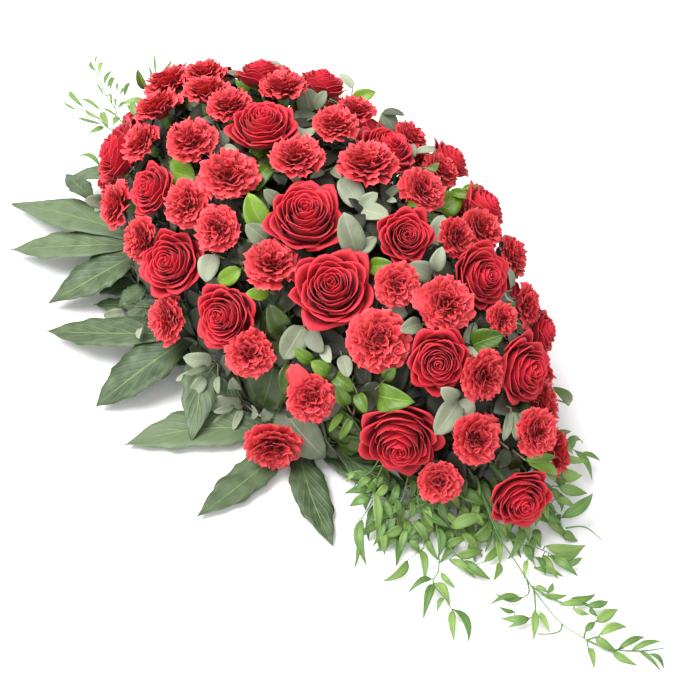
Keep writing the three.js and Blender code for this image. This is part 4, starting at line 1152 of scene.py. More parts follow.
@dataclass(frozen=True)
class LeafFinish:
    """Leaves with a pale midrib and side veins.

    Attributes:
        name: The material's name.
        dark: Colour of the shaded blade.
        light: Colour of the light blade.
        rib: Colour of the midrib.
        rib_width: Its width as a share of the half-width.
        veins: How many side veins.
        vein_tint: How far they lean to the midrib's colour.
        vein_depth: Their depth, in metres.
        roughness: Of the blade.
        coat: Strength of the waxy gloss.
        tone_and_shade: Colour that a blade leans to below full lightness: painted shade for leaves deep
        between the blooms and at a blade's foot, and a darker green at random on ruscus.
        foot: How far the blade leans to that colour at its foot, as painted shade where the blooms shade it.
        patches: How much the blade's colour changes from patch to patch.
    """

    name: str
    dark: Point
    light: Point
    rib: Point
    rib_width: float = 0.05
    veins: float = 9
    vein_tint: float = 0.1
    vein_depth: float = 0.0004
    roughness: float = 0.45
    coat: float = 0.0
    # Painted shade colour for leaves between the blooms and at a blade's foot; on ruscus a darker green at
    # random
    tone_and_shade: Point = (0.007, 0.006, 0.0025)
    foot: float = 0
    patches: float = 0.4

    def build(self) -> bpy.types.Material:
        """Makes the material.

        Returns:
            The material.
        """
        shader = Shader(self.name)
        along, across, chance, shade = shader.form()
        lines = ((along - across * 0.35) * (self.veins * math.tau)).wave() ** 6
        patches = (shader.noise(60) - 0.5) * (self.patches * 2) + self.patches * 0.5
        blade = shader.mixed((chance * 0.8 + patches).clamped(), self.dark, self.light)
        blade = shader.mixed(lines * self.vein_tint, blade, self.rib)
        rib = (1 - across / (self.rib_width * 1.6)).clamped()
        lightness = shader.mixed(rib * 0.8, blade, self.rib)
        # Painted shade: the blade darkens towards its foot, in the shade of the blooms
        if self.foot:
            shade = shade * (1 - (1 - (along * 2.6).clamped()) * self.foot)
        # Painted shade: below a fourth value of 1 the blade leans to the dark colour, on ruscus as a random
        # tone
        shader.feed("Base Color", shader.mixed(shade.clamped(), self.tone_and_shade, lightness))
        shader.bump(lines * 0.6 + rib * 0.8 + shader.noise(500) * 0.3, 0.6, self.vein_depth)
        shader.constants(
            Roughness=self.roughness, Specular_IOR_Level=0.3, Coat_Weight=self.coat, Coat_Roughness=0.25
        )
        return shader.material


@dataclass(frozen=True)
class PlainFinish:
    """One colour with a fine grain.

    Attributes:
        name: The material's name.
        dark: Colour in the grain's hollows.
        light: Colour of its high spots.
        grain: Scale of the grain, per metre.
        depth: Its depth, in metres.
        roughness: Of the surface.
    """

    name: str
    dark: Point
    light: Point
    grain: float = 300
    depth: float = 0.0002
    roughness: float = 0.6

    def build(self) -> bpy.types.Material:
        """Makes the material.

        Returns:
            The material.
        """
        shader = Shader(self.name)
        grain = shader.noise(self.grain)
        shader.feed("Base Color", shader.mixed(grain, self.dark, self.light))
        shader.bump(grain, 0.5, self.depth)
        shader.constants(Roughness=self.roughness)
        return shader.material


class Finish(Enum):
    """Every finish of the arrangement."""

    ROSE = PetalFinish(
        name="rose petal",
        deep=(0.22, 0.005, 0.011),
        heart=(0.70, 0.018, 0.047),
        body=(0.56, 0.015, 0.029),
        rim=(0.72, 0.046, 0.062),
        pale=(0.62, 0.03, 0.05),
        vein=0.00004,
        sheen=0.06,
    )
    CARNATION = PetalFinish(
        name="carnation petal",
        deep=(0.20, 0.004, 0.008),
        heart=(0.60, 0.022, 0.033),
        body=(0.71, 0.038, 0.050),
        rim=(0.84, 0.12, 0.135),
        pale=(0.76, 0.07, 0.085),
        vein=0.00006,
        sheen=0.05,
    )
    CALYX = PlainFinish("calyx and stem", (0.05, 0.13, 0.03), (0.13, 0.26, 0.07))
    TWIG = PlainFinish("woody twig", (0.16, 0.12, 0.07), (0.28, 0.26, 0.15))
    FATSIA = LeafFinish(
        name="fatsia leaf",
        dark=(0.014, 0.036, 0.008),
        light=(0.11, 0.155, 0.08),
        rib=(0.17, 0.25, 0.07),
        rib_width=0.036,
        veins=8,
        vein_tint=0.09,
        vein_depth=0.0009,
        roughness=0.46,
        foot=0.8,
        patches=0.7,
    )
    EUCALYPTUS = LeafFinish(
        name="eucalyptus leaf",
        dark=(0.095, 0.12, 0.065),
        light=(0.30, 0.335, 0.235),
        rib=(0.42, 0.40, 0.28),
        rib_width=0.03,
        veins=6,
        vein_tint=0.05,
        vein_depth=0.0002,
        roughness=0.62,
    )
    SALAL = LeafFinish(
        name="salal leaf",
        dark=(0.02, 0.055, 0.004),
        light=(0.15, 0.27, 0.015),
        rib=(0.25, 0.38, 0.07),
        rib_width=0.03,
        veins=6,
        vein_tint=0.08,
        vein_depth=0.0003,
        roughness=0.36,
        coat=0.15,
    )
    RUSCUS = LeafFinish(
        name="ruscus leaf",
        dark=(0.05, 0.14, 0.025),
        light=(0.22, 0.34, 0.085),
        rib=(0.24, 0.36, 0.12),
        rib_width=0.06,
        veins=3,
        vein_depth=0.0002,
        roughness=0.42,
        coat=0.08,
        tone_and_shade=(0.03, 0.085, 0.016),
    )
    TRAY = PlainFinish("moulded tray", (0.006, 0.012, 0.008), (0.012, 0.024, 0.015), 900, 0.00005, 0.45)
    FOAM = PlainFinish("wet foam", (0.015, 0.06, 0.028), (0.04, 0.12, 0.06), 700, 0.0006, 0.95)
    FLOOR = PlainFinish("pale floor", (0.88, 0.88, 0.88), (0.9, 0.9, 0.9), 20, 0.0001, 0.9)


class Workshop:
    """Makes the finishes once and turns meshes into pieces."""

    def __init__(self) -> None:
        """Builds every finish."""
        self.materials = {finish: finish.value.build() for finish in Finish}

    @staticmethod
    def begin() -> Mesh:
        """Starts a mesh.

        Returns:
            An empty mesh whose vertices carry four values.
        """
        bm = bmesh.new()
        bm.verts.layers.float_color.new(FORM)
        return bm

    def piece(self, bm: Mesh, name: str, finish: Finish, plant: Plant, node: str, thick: float = 0) -> None:
        """Turns a mesh in millimetres into a piece that stands for a solid.

        Args:
            bm: The mesh, which is freed.
            name: The piece's name.
            finish: Which finish it gets.
            plant: The plant that it is of; it is not used.
            node: The solid that it replaces.
            thick: Thickness given to its sheets, in millimetres.
        """
        for vert in bm.verts:
            vert.co.z = max(LOWEST, vert.co.z)
        bmesh.ops.scale(bm, vec=(MM, MM, MM), verts=bm.verts)
        mesh = bpy.data.meshes.new(name)
        bm.to_mesh(mesh)
        bm.free()
        mesh.shade_smooth()
        mesh.materials.append(self.materials[finish])
        made = add_object(name, mesh)
        if thick:
            solidify = made.modifiers.new("thickness", "SOLIDIFY")
            solidify.thickness = thick * MM
            solidify.offset = -1
        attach(made, "root")
        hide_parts(node)
        logging.info("%s: %d faces", name, len(mesh.polygons))


def add_sheet(bm: Mesh, across: int, along: int, form: Form, tint: Tint, shade: float = 1) -> None:
    """Lays a grid on a form.

    Args:
        bm: The mesh that it joins.
        across: Faces across.
        along: Faces along.
        form: The place for a position across, from -1 to 1, and along, from 0 to 1.
        tint: The first three values that the vertex carries.
        shade: The fourth.
    """
    layer = bm.verts.layers.float_color[FORM]
    for vert in bmesh.ops.create_grid(bm, x_segments=across, y_segments=along, size=1)["verts"]:
        u, v = vert.co.x, (vert.co.y + 1) / 2
        vert.co = form(u, v)
        vert[layer] = (*tint(u, v), shade)


def add_tube(bm: Mesh, path: list[Vector], radii: list[float], sides: int = 6) -> None:
    """Draws a round stem along a path by extruding a circle.

    Args:
        bm: The mesh that it joins.
        path: Its middle line.
        radii: The radius at each point of it.
        sides: How many sides.
    """
    layer = bm.verts.layers.float_color[FORM]
    ring = bmesh.ops.create_circle(bm, segments=sides, radius=radii[0], cap_ends=True)["verts"]
    way = (path[1] - path[0]).normalized()
    turn = way.to_track_quat("Z", "Y")
    bmesh.ops.rotate(bm, verts=ring, cent=(0, 0, 0), matrix=turn.to_matrix())
    bmesh.ops.translate(bm, verts=ring, vec=path[0])
    verts, edges = list(ring), list(dict.fromkeys(edge for vert in ring for edge in vert.link_edges))
    for index in range(1, len(path)):
        made = bmesh.ops.extrude_edge_only(bm, edges=edges)["geom"]
        ring = [item for item in made if isinstance(item, bmesh.types.BMVert)]
        edges = [
            item
            for item in made
            if isinstance(item, bmesh.types.BMEdge) and all(vert in ring for vert in item.verts)
        ]
        following = path[min(index + 1, len(path) - 1)] - path[index - 1]
        bend = way.rotation_difference(following.normalized())
        way = following.normalized()
        bmesh.ops.translate(bm, verts=ring, vec=path[index] - path[index - 1])
        bmesh.ops.rotate(bm, verts=ring, cent=path[index], matrix=bend.to_matrix())
        size = radii[index] / radii[index - 1]
        bmesh.ops.scale(bm, verts=ring, vec=(size, size, size), space=Matrix.Translation(-path[index]))
        verts += ring
    bmesh.ops.contextual_create(bm, geom=ring)
    for vert in verts:
        vert[layer] = STEM_VALUES


def add_cup(bm: Mesh, bloom: Bloom, rows: list[tuple[float, float]], sides: int, tint: float) -> None:
    """Turns a closed profile round a bloom's axis.

    Args:
        bm: The mesh that it joins.
        bloom: The bloom.
        rows: Radius and height of the profile as shares of the bloom's radius, on the axis at both ends.
        sides: How many steps round.
        tint: The first of the values that its vertices carry.
    """
    layer = bm.verts.layers.float_color[FORM]
    side, _ = bloom.frame
    line = [bm.verts.new(bloom.base + (side * r + bloom.axis * h) * bloom.radius) for r, h in rows]
    edges = [bm.edges.new(pair) for pair in zip(line, line[1:])]
    made = bmesh.ops.spin(
        bm,
        geom=[*line, *edges],
        cent=bloom.base,
        axis=bloom.axis,
        angle=math.tau,
        steps=sides,
        use_merge=True,
    )
    last = (vert for item in made["geom_last"] for vert in getattr(item, "verts", [item]))
    seen = dict.fromkeys([*line, *last])
    reached = list(seen)
    while reached:
        vert = reached.pop()
        for edge in vert.link_edges:
            other = edge.other_vert(vert)
            if other not in seen:
                seen[other] = None
                reached.append(other)
    bmesh.ops.remove_doubles(bm, verts=list(seen), dist=0.001)
    kept = [vert for vert in seen if vert.is_valid]
    for vert in kept:
        vert[layer] = (tint, *STEM_VALUES[1:])
    faces = list(dict.fromkeys(face for vert in kept for face in vert.link_faces))
    bmesh.ops.recalc_face_normals(bm, faces=faces)


def curve_point(rows: list[tuple[float, float]], share: float) -> tuple[float, float]:
    """Finds a point on a cubic curve in the plane of radius and height.

    Args:
        rows: The curve's four control points.
        share: The share of the way along it.

    Returns:
        Radius and height.
    """
    rest = 1 - share
    weights = (rest**3, 3 * rest**2 * share, 3 * rest * share**2, share**3)
    return (
        sum(weight * row[0] for weight, row in zip(weights, rows)),
        sum(weight * row[1] for weight, row in zip(weights, rows)),
    )


def foot_of(place: Vector) -> Vector:
    """Where a stem that ends at a place of the mound stands in the foam, which is smaller and flatter."""
    along, across, level, rise = 0.52, 0.24, 54, 0.04
    return Vector((place.x * along, place.y * across, level + (place.z - MOUND.foot) * rise))


def corners_of(node: str) -> list[Vector]:
    """The corners of a solid, in millimetres."""
    return [vert.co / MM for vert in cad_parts[node].data.vertices]


@dataclass
class RoseHead:
    """A rose: petals in a spiral round a closed heart, over sepals and a stem.

    Attributes:
        shop: Turns meshes into pieces.
        petals: How many petals.
        across: Faces across a petal.
        along: Faces along it.
        inner: Rim radius of the innermost petal, as a share of the bloom's radius.
        crest: Height of the innermost rim and how much lower the outermost lies, in the same way.
        wrap: Half the angle that the innermost petal takes and how much less the outermost does, in degrees.
        sepals: How many sepals.
        thick: Thickness of a petal.
        stem: Radius of the stem.
    """

    shop: Workshop
    petals: int = 38
    across: int = 10
    along: int = 8
    inner: float = 0.045
    crest: tuple[float, float] = (1.26, 0.4)
    wrap: tuple[float, float] = (108, 60)
    sepals: int = 5
    thick: float = 0.35
    stem: float = 2.4

    def petal(self, bloom: Bloom, index: int, random: Random) -> tuple[Form, Tint]:
        """Draws the form and tint of one petal.

        Args:
            bloom: The rose.
            index: The petal's place in the spiral, from the heart.
            random: Draws for its small differences.

        Returns:
            The two functions that a sheet needs.
        """
        share = index / (self.petals - 1)
        reach = self.inner + (1 - self.inner) * share**1.02
        opening = min(1, max(0, (reach - 0.15) / 0.8))
        rim = self.crest[0] - self.crest[1] * reach**1.6 + random.uniform(-0.02, 0.02)
        middle = index * GOLDEN_TURN + random.uniform(-0.25, 0.25)
        spread = math.radians(self.wrap[0] - self.wrap[1] * share**0.5) * random.uniform(0.9, 1.1)
        brim = reach * (0.86 + 0.2 * opening)
        rows = [
            (0.06 + 0.1 * reach, 0.26),
            (0.12 + 0.9 * reach, 0.34),
            (reach * (0.98 - 0.12 * opening), rim - 0.16),
            (brim * (0.55 + 0.45 * min(1, reach / 0.22)), rim + 0.02 - 0.04 * opening),
        ]
        phase, twist = random.uniform(0, math.tau), random.uniform(-1, 1)
        roll = (0.04 + 0.035 * opening) * random.uniform(0.6, 1.5)
        point = (0.1 + 0.24 * opening) * random.uniform(0.7, 1.3)
        corner = (0.04 + 0.24 * opening) * random.uniform(0.6, 1.3)
        slant = random.uniform(-0.3, 0.3)
        side, front = bloom.frame
        chance = random.random()

        def form(u: float, v: float) -> Vector:
            """Places a point of it.

            Args:
                u: Across, from -1 to 1.
                v: Along, from 0 to 1.

            Returns:
                The place.
            """
            v = 1 - (1 - v) ** 1.35
            edge = abs(u - slant * (1 - u * u))
            top = v * (1 - point * edge**1.05 - 0.08 * edge**6)
            radius, height = curve_point(rows, top)
            radius *= 1 - corner * edge**1.15 * v
            curl = max(0, v - 0.66) / 0.34
            back = roll * curl**1.5
            radius += back * (1 - 0.3 * edge)
            height -= back * (0.15 + 0.95 * curl) * (1 + 1.2 * edge**2)
            radius += 0.04 * u * (1 - 0.4 * opening) * (0.4 + reach)
            radius += 0.014 * math.sin(2.2 * math.pi * u + phase) * v * v * (0.4 + reach)
            height += 0.015 * math.sin(3.1 * math.pi * u + phase * 2) * v**3 + 0.04 * twist * u * v
            width = 0.42 + 0.58 * math.sin(min(1, 0.2 + 0.85 * v) * math.pi / 2)
            angle = middle + spread * u * width
            outward = side * math.cos(angle) + front * math.sin(angle)
            return bloom.pressed(bloom.base + (outward * radius + bloom.axis * height) * bloom.size)

        def tint(u: float, v: float) -> Point:
            """How far along and outward a point lies, and the petal's own draw."""
            return v, share, chance

        return form, tint

    def build(self, bloom: Bloom, node: str, foot: Vector, seed: int) -> None:
        """Builds the rose that stands for a node.

        Args:
            bloom: Its place.
            node: The solid that it replaces.
            foot: Where its stem ends in the foam.
            seed: Of its random draws.
        """
        random = Random(seed)
        bm = self.shop.begin()
        for index in range(self.petals):
            form, tint = self.petal(bloom, index, random)
            add_sheet(bm, self.across, self.along, form, tint)
        self.shop.piece(bm, f"{node}_petals", Finish.ROSE, Plant.ROSE, node, self.thick)
        bm = self.shop.begin()
        add_cup(bm, bloom, [(0, 0.0), (0.16, 0.04), (0.24, 0.2), (0.2, 0.34), (0, 0.4)], 10, 0.3)
        for index in range(self.sepals):
            angle = (index + random.uniform(-0.15, 0.15)) / self.sepals * math.tau
            self.sepal(bm, bloom, bloom.outward(angle), random.uniform(0.75, 1.05))
        path = [foot, foot.lerp(bloom.base, 0.5), bloom.base + bloom.axis * (0.08 * bloom.radius)]
        add_tube(bm, path, [self.stem, self.stem, self.stem * 1.1])
        self.shop.piece(bm, f"{node}_stem", Finish.CALYX, Plant.ROSE, node)

    @staticmethod
    def sepal(bm: Mesh, bloom: Bloom, outward: Vector, length: float) -> None:
        """Adds one narrow sepal below the petals.

        Args:
            bm: The mesh that it joins.
            bloom: The rose.
            outward: The way it points.
            length: Its length, where 1 is that of a full one.
        """
        across = bloom.axis.cross(outward)

        def form(u: float, v: float) -> Vector:
            """Places a point of it.

            Args:
                u: Across, from -1 to 1.
                v: Along, from 0 to 1.

            Returns:
                The place.
            """
            half = 0.1 * math.sin(math.pi * min(1, 0.25 + 0.75 * v)) ** 0.8
            radius, height = curve_point([(0.1, 0.06), (0.5, 0.1), (0.75, 0.25), (0.85, 0.5)], v * length)
            return bloom.base + (outward * radius + bloom.axis * height + across * (u * half)) * bloom.radius

        add_sheet(bm, 2, 5, form, lambda u, v: (0.4, 0.5, 0.5))


@dataclass
class CarnationHead:
    """A carnation: ruffled petals with toothed edges that fan out of a long calyx.

    Attributes:
        petals: How many petals.
        across: Faces across a petal: each second point of its rim is a tooth.
        along: Faces along it.
        crest: Height of the innermost rim and how much lower the outermost lies, as shares of the radius.
        stem: Radius of the stem.
    """

    petals: int = 36
    across: int = 16
    along: int = 4
    crest: tuple[float, float] = (1.38, 0.36)
    stem: float = 1.7

    def petal(self, bloom: Bloom, index: int, random: Random) -> tuple[Form, Tint]:
        """Draws the form and tint of one petal.

        Args:
            bloom: The carnation.
            index: The petal's place, from the middle.
            random: Draws for its small differences.

        Returns:
            The two functions that a sheet needs.
        """
        share = (index + 0.5) / self.petals
        reach = 0.02 + share**0.62 * random.uniform(0.93, 1.06)
        rim = self.crest[0] - self.crest[1] * reach**2.3 + random.uniform(-0.07, 0.06)
        angle = index * GOLDEN_TURN + random.uniform(-0.25, 0.25)
        outward = bloom.outward(angle)
        across = bloom.axis.cross(outward)
        rows = [
            (0.06, 0.56),
            (0.1 + 0.34 * share, 0.8),
            (reach * 0.74, rim + 0.03),
            (reach, rim - 0.12 * share**2),
        ]
        half = random.uniform(0.42, 0.56) + 0.16 * share
        phase, second = random.uniform(0, math.tau), random.uniform(0, math.tau)
        folds = random.uniform(1.7, 2.6)
        ruffle = random.uniform(0.11, 0.2) * (1.25 - 0.6 * share)
        lean = random.uniform(-0.5, 0.5)
        steep = 1 - share
        chance = random.random()

        def form(u: float, v: float) -> Vector:
            """Places a point of it.

            Args:
                u: Across, from -1 to 1.
                v: Along, from 0 to 1.

            Returns:
                The place.
            """
            tooth = 0.03 * math.cos(math.pi * self.across / 2 * (u + 1)) if v > 0.99 else 0
            top = v * (1 - 0.2 * abs(u) ** 2.5) + tooth
            radius, height = curve_point(rows, top)
            spread = half * (0.12 + 0.88 * v**1.15) * u
            wave = math.sin(folds * math.pi * u + phase) + 0.55 * math.sin(2.1 * folds * math.pi * u + second)
            wave *= ruffle * v**1.5
            gather = 0.5 * ruffle * v**1.5 * math.sin(1.6 * folds * math.pi * u + second * 2)
            place = outward * (radius + wave * (0.2 + 0.8 * steep) - 0.3 * spread * spread)
            place += bloom.axis * (height + wave * (0.9 - 0.6 * steep) - 0.22 * share * spread * spread)
            place += across * (spread * (1 - 0.12 * v) + gather + lean * 0.1 * v)
            return bloom.pressed(bloom.base + place * bloom.size)

        def tint(u: float, v: float) -> Point:
            """How far along and outward a point lies, and the petal's own draw."""
            return v, share, chance

        return form, tint

    def add_petals(self, bm: Mesh, bloom: Bloom, random: Random) -> None:
        """Adds the petals of one bloom, with a small core that closes its heart in the petals' painted shade
        colour.

        Args:
            bm: The mesh that they join.
            bloom: The carnation.
            random: Draws for their small differences.
        """
        for index in range(self.petals):
            form, tint = self.petal(bloom, index, random)
            add_sheet(bm, self.across, self.along, form, tint)
        if bloom.plain:
            self.add_plain(bm, bloom)
        # The core takes the dark colour of the petals' feet: painted shade in the heart
        add_cup(bm, bloom, [(0, 0.5), (0.2, 0.6), (0.42, 0.95), (0.3, 1.08), (0, 1.12)], 8, 0.2)

    @staticmethod
    def add_plain(bm: Mesh, bloom: Bloom) -> None:
        """Adds one large smooth petal that lies over the others.

        Args:
            bm: The mesh that it joins.
            bloom: The carnation.
        """
        outward = (bloom.plain - bloom.axis * bloom.plain.dot(bloom.axis)).normalized()
        across = bloom.axis.cross(outward)
        reach = bloom.plain.length

        def form(u: float, v: float) -> Vector:
            """Places a point of it.

            Args:
                u: Across, from -1 to 1.
                v: Along, from 0 to 1.

            Returns:
                The place.
            """
            end = v * (1 - 0.2 * u * u + 0.03 * math.sin(9 * u + 1))
            radius = 0.3 + (reach - 0.3) * end
            height = 1.12 - 0.16 * end + 0.14 * u * u * v + 0.035 * math.sin(9 * u + 5 * v) * v
            half = 0.4 * math.sin(math.pi * (0.1 + 0.6 * v)) ** 0.8
            return bloom.base + (outward * radius + bloom.axis * height + across * (u * half)) * bloom.size

        # Its foot leans to the petals' painted shade and its end to their painted highlight, and it grows
        # paler along it
        add_sheet(bm, 14, 8, form, lambda u, v: (0.5 + 0.44 * v, 0.9, 0.3 + 0.7 * v))

    def add_calyx(self, bm: Mesh, bloom: Bloom, fork: Vector) -> None:
        """Adds the calyx and the stem down to a fork.

        Args:
            bm: The mesh that they join.
            bloom: The carnation.
            fork: The place of the fork.
        """
        rows = [(0, -0.02), (0.1, 0), (0.2, 0.12), (0.24, 0.4), (0.25, 0.64), (0.18, 0.6), (0, 0.6)]
        add_cup(bm, bloom, rows, 10, 0.3)
        path = [fork, fork.lerp(bloom.base, 0.5), bloom.base + bloom.axis * (0.06 * bloom.radius)]
        add_tube(bm, path, [self.stem] * 3, 5)


@dataclass
class CarnationSprays:
    """Carnations in threes and fours on forked stems.

    Attributes:
        shop: Turns meshes into pieces.
        head: How each bloom is made.
        clear: How far from a bloom's heart a solid's corner must lie to be the stem's, in radii.
        root: How far from its foot the stem's other corners lie, in millimetres.
    """

    shop: Workshop
    head: CarnationHead = field(default_factory=CarnationHead)
    clear: float = 1.7
    root: float = 14

    def build(self, blooms: list[Bloom], node: str, seed: int) -> None:
        """Builds one spray.

        Args:
            blooms: Its blooms.
            node: The solid that it replaces.
            seed: Of its random draws.
        """
        random = Random(seed)
        away = [
            place
            for place in corners_of(node)
            if all((place - bloom.heart).length > self.clear * bloom.radius for bloom in blooms)
        ]
        middle = sum((bloom.base for bloom in blooms), Vector()) / len(blooms)
        foot = max(away, key=lambda place: (place - middle).length)
        knot = [place for place in away if (place - foot).length > self.root]
        fork = sum(knot, Vector()) / len(knot) if knot else foot.lerp(middle, 0.5)
        petals, stems = self.shop.begin(), self.shop.begin()
        for bloom in blooms:
            self.head.add_petals(petals, bloom, random)
            self.head.add_calyx(stems, bloom, fork)
        thick = self.head.stem * 1.3
        add_tube(stems, [foot, foot.lerp(fork, 0.5), fork], [thick] * 3, 6)
        self.shop.piece(petals, f"{node}_petals", Finish.CARNATION, Plant.CARNATION, node)
        self.shop.piece(stems, f"{node}_stems", Finish.CALYX, Plant.CARNATION, node)


@dataclass(frozen=True)
class LeafForm:
    """The shape of a leaf of one kind.

    Attributes:
        fullness: How round its outline is.
        belly: Where it is widest, from its base: below 1 nearer the base.
        fold: How far the halves are folded up, as a share of the width.
        arch: How far it bends back along its length, as a share of it.
        wave: How far its edge ripples, as a share of the width.
        sway: How far it may bend sideways, as a share of its length.
        across: Faces across.
        along: Faces along.
        thick: Thickness in millimetres.
    """

    fullness: float
    belly: float
    fold: float
    arch: float
    wave: float
    sway: float
    across: int = 6
    along: int = 10
    thick: float = 0.5


LEAF_FORMS = {
    Plant.EUCALYPTUS: LeafForm(0.52, 0.86, 0.12, 0.08, 0.04, 0.05),
    Plant.SALAL: LeafForm(0.62, 0.82, 0.16, 0.12, 0.03, 0.06),
    Plant.RUSCUS: LeafForm(0.95, 0.74, 0.14, 0.16, 0.02, 0.12, 4, 7),
}


@dataclass
class LeafySprigs:
    """Sprigs whose leaves stand in clusters between the blooms.

    Attributes:
        shop: Turns meshes into pieces.
        bouquet: The blooms that the leaves lie between.
        kind: Which plant they are of.
        stem: Radius of a twig.
        floor: The lowest that a leaf may come.
        slender: The greatest length of a blade as a multiple of its width.
        small: Up to how many pixels of width a leaf is small.
        longer: How much longer such a leaf may be.
        tilt: How far a leaf's face turns from the lens to the way out of the mound.
        base_depths: How far below the bloom faces a cluster's base may lie, the likeliest first.
        tip_depths: The same for a leaf's tip.
    """

    shop: Workshop
    bouquet: Bouquet
    kind: Plant
    stem: float = 1.3
    floor: float = 2
    slender: float = 1.75
    small: float = 12
    longer: float = 1.8
    tilt: float = 0.25
    base_depths: tuple[int, ...] = (30, 26, 34, 22, 38, 42, 18, 46, 50, 14)
    tip_depths: tuple[int, ...] = (8, 4, 12, 0, 16, 20, -4, 24)

    def spots(self, px: float, py: float, depths: Iterable[float], lowest: float) -> list[Vector]:
        """The places at several depths that a pixel can show."""
        places = [MOUND.shown(px, py, depth) for depth in depths]
        return [VIEW.on_level(px, py, lowest) if place.z < lowest else place for place in places]

    def shown_cluster(self, px: float, py: float, leaves: list[Row]) -> list[Leaf]:
        """Places the leaves of one cluster that the photograph shows.

        Args:
            px: Pixel of its base from the left.
            py: Pixel of its base from the top.
            leaves: Its rows of leaves.

        Returns:
            The leaves.
        """
        base = self.bouquet.clearest(self.spots(px, py, self.base_depths, self.floor), None, self.stem)
        made = []
        for x, y, pixels, *more in leaves:
            lightness, deeper = [*more, *(1, 0)[len(more) :]]
            depths = [depth + deeper for depth in self.tip_depths]
            spots = self.spots(x, y, depths, self.floor + pixels * 0.35)
            tip = self.bouquet.clearest(spots, base, pixels * 0.2)
            facing = VIEW.back.lerp(MOUND.normal(tip), self.tilt)
            width = VIEW.width(pixels, tip)
            slender = self.slender if pixels > self.small else self.longer * self.slender
            stalk = max(0, 1 - slender * width / (tip - base).length)
            made.append(Leaf(base, tip, width, facing, lightness, stalk))
        return made

    def far_cluster(self, x: float, degrees: float, turn: float, length: float) -> list[Leaf]:
        """Places a leaf of the far side.

        Args:
            x: The place of its base along the mound.
            degrees: The angle round the mound.
            turn: The way it points, in degrees.
            length: Its length.

        Returns:
            A cluster of this one leaf.
        """
        spots = [MOUND.around(x, degrees, depth) for depth in self.base_depths]
        base = self.bouquet.clearest(spots, None, self.stem)
        normal = MOUND.normal(MOUND.around(x, degrees))
        tangent = Vector((1, 0, 0)) - normal * normal.x
        tangent = Quaternion(normal, math.radians(turn)) @ tangent.normalized()
        return [Leaf(base, base + tangent * length + normal * 20, length * 0.55, normal)]

    def clusters(self, shown: list[tuple[float, float, list[Row]]], far: list[Row]) -> list[list[Leaf]]:
        """The clusters of one sprig, those of the photograph first."""
        return [self.shown_cluster(*row) for row in shown] + [self.far_cluster(*row) for row in far]

    def build(self, clusters: list[list[Leaf]], filling: list[Leaf], index: int) -> None:
        """Builds one sprig.

        Args:
            clusters: Its leaves, by cluster.
            filling: Its small leaves that fill the depth between the blooms.
            index: Its number.
        """
        node = f"{self.kind.value}_{index + 1:02d}"
        random = Random(SEEDS[self.kind] + index)
        blades, twigs = self.shop.begin(), self.shop.begin()
        shape = LEAF_FORMS[self.kind]
        for cluster in clusters:
            base = cluster[0].base
            foot = foot_of(base)
            bend = foot.lerp(base, 0.55) + Vector((0, 0, 6))
            add_tube(twigs, [foot, bend, base], [self.stem * 1.2, self.stem, self.stem * 0.8], 5)
            for leaf in cluster:
                leaf.add(blades, shape, random)
                if leaf.stalk:
                    add_tube(twigs, [base, leaf.root], [self.stem * 0.7, self.stem * 0.4], 4)
        for leaf in filling:
            leaf.add(blades, replace(shape, across=4, along=7), random)
        self.shop.piece(blades, f"{node}_leaves", Finish[self.kind.name], self.kind, node, shape.thick)
        self.shop.piece(twigs, f"{node}_twigs", Finish.TWIG, self.kind, node)


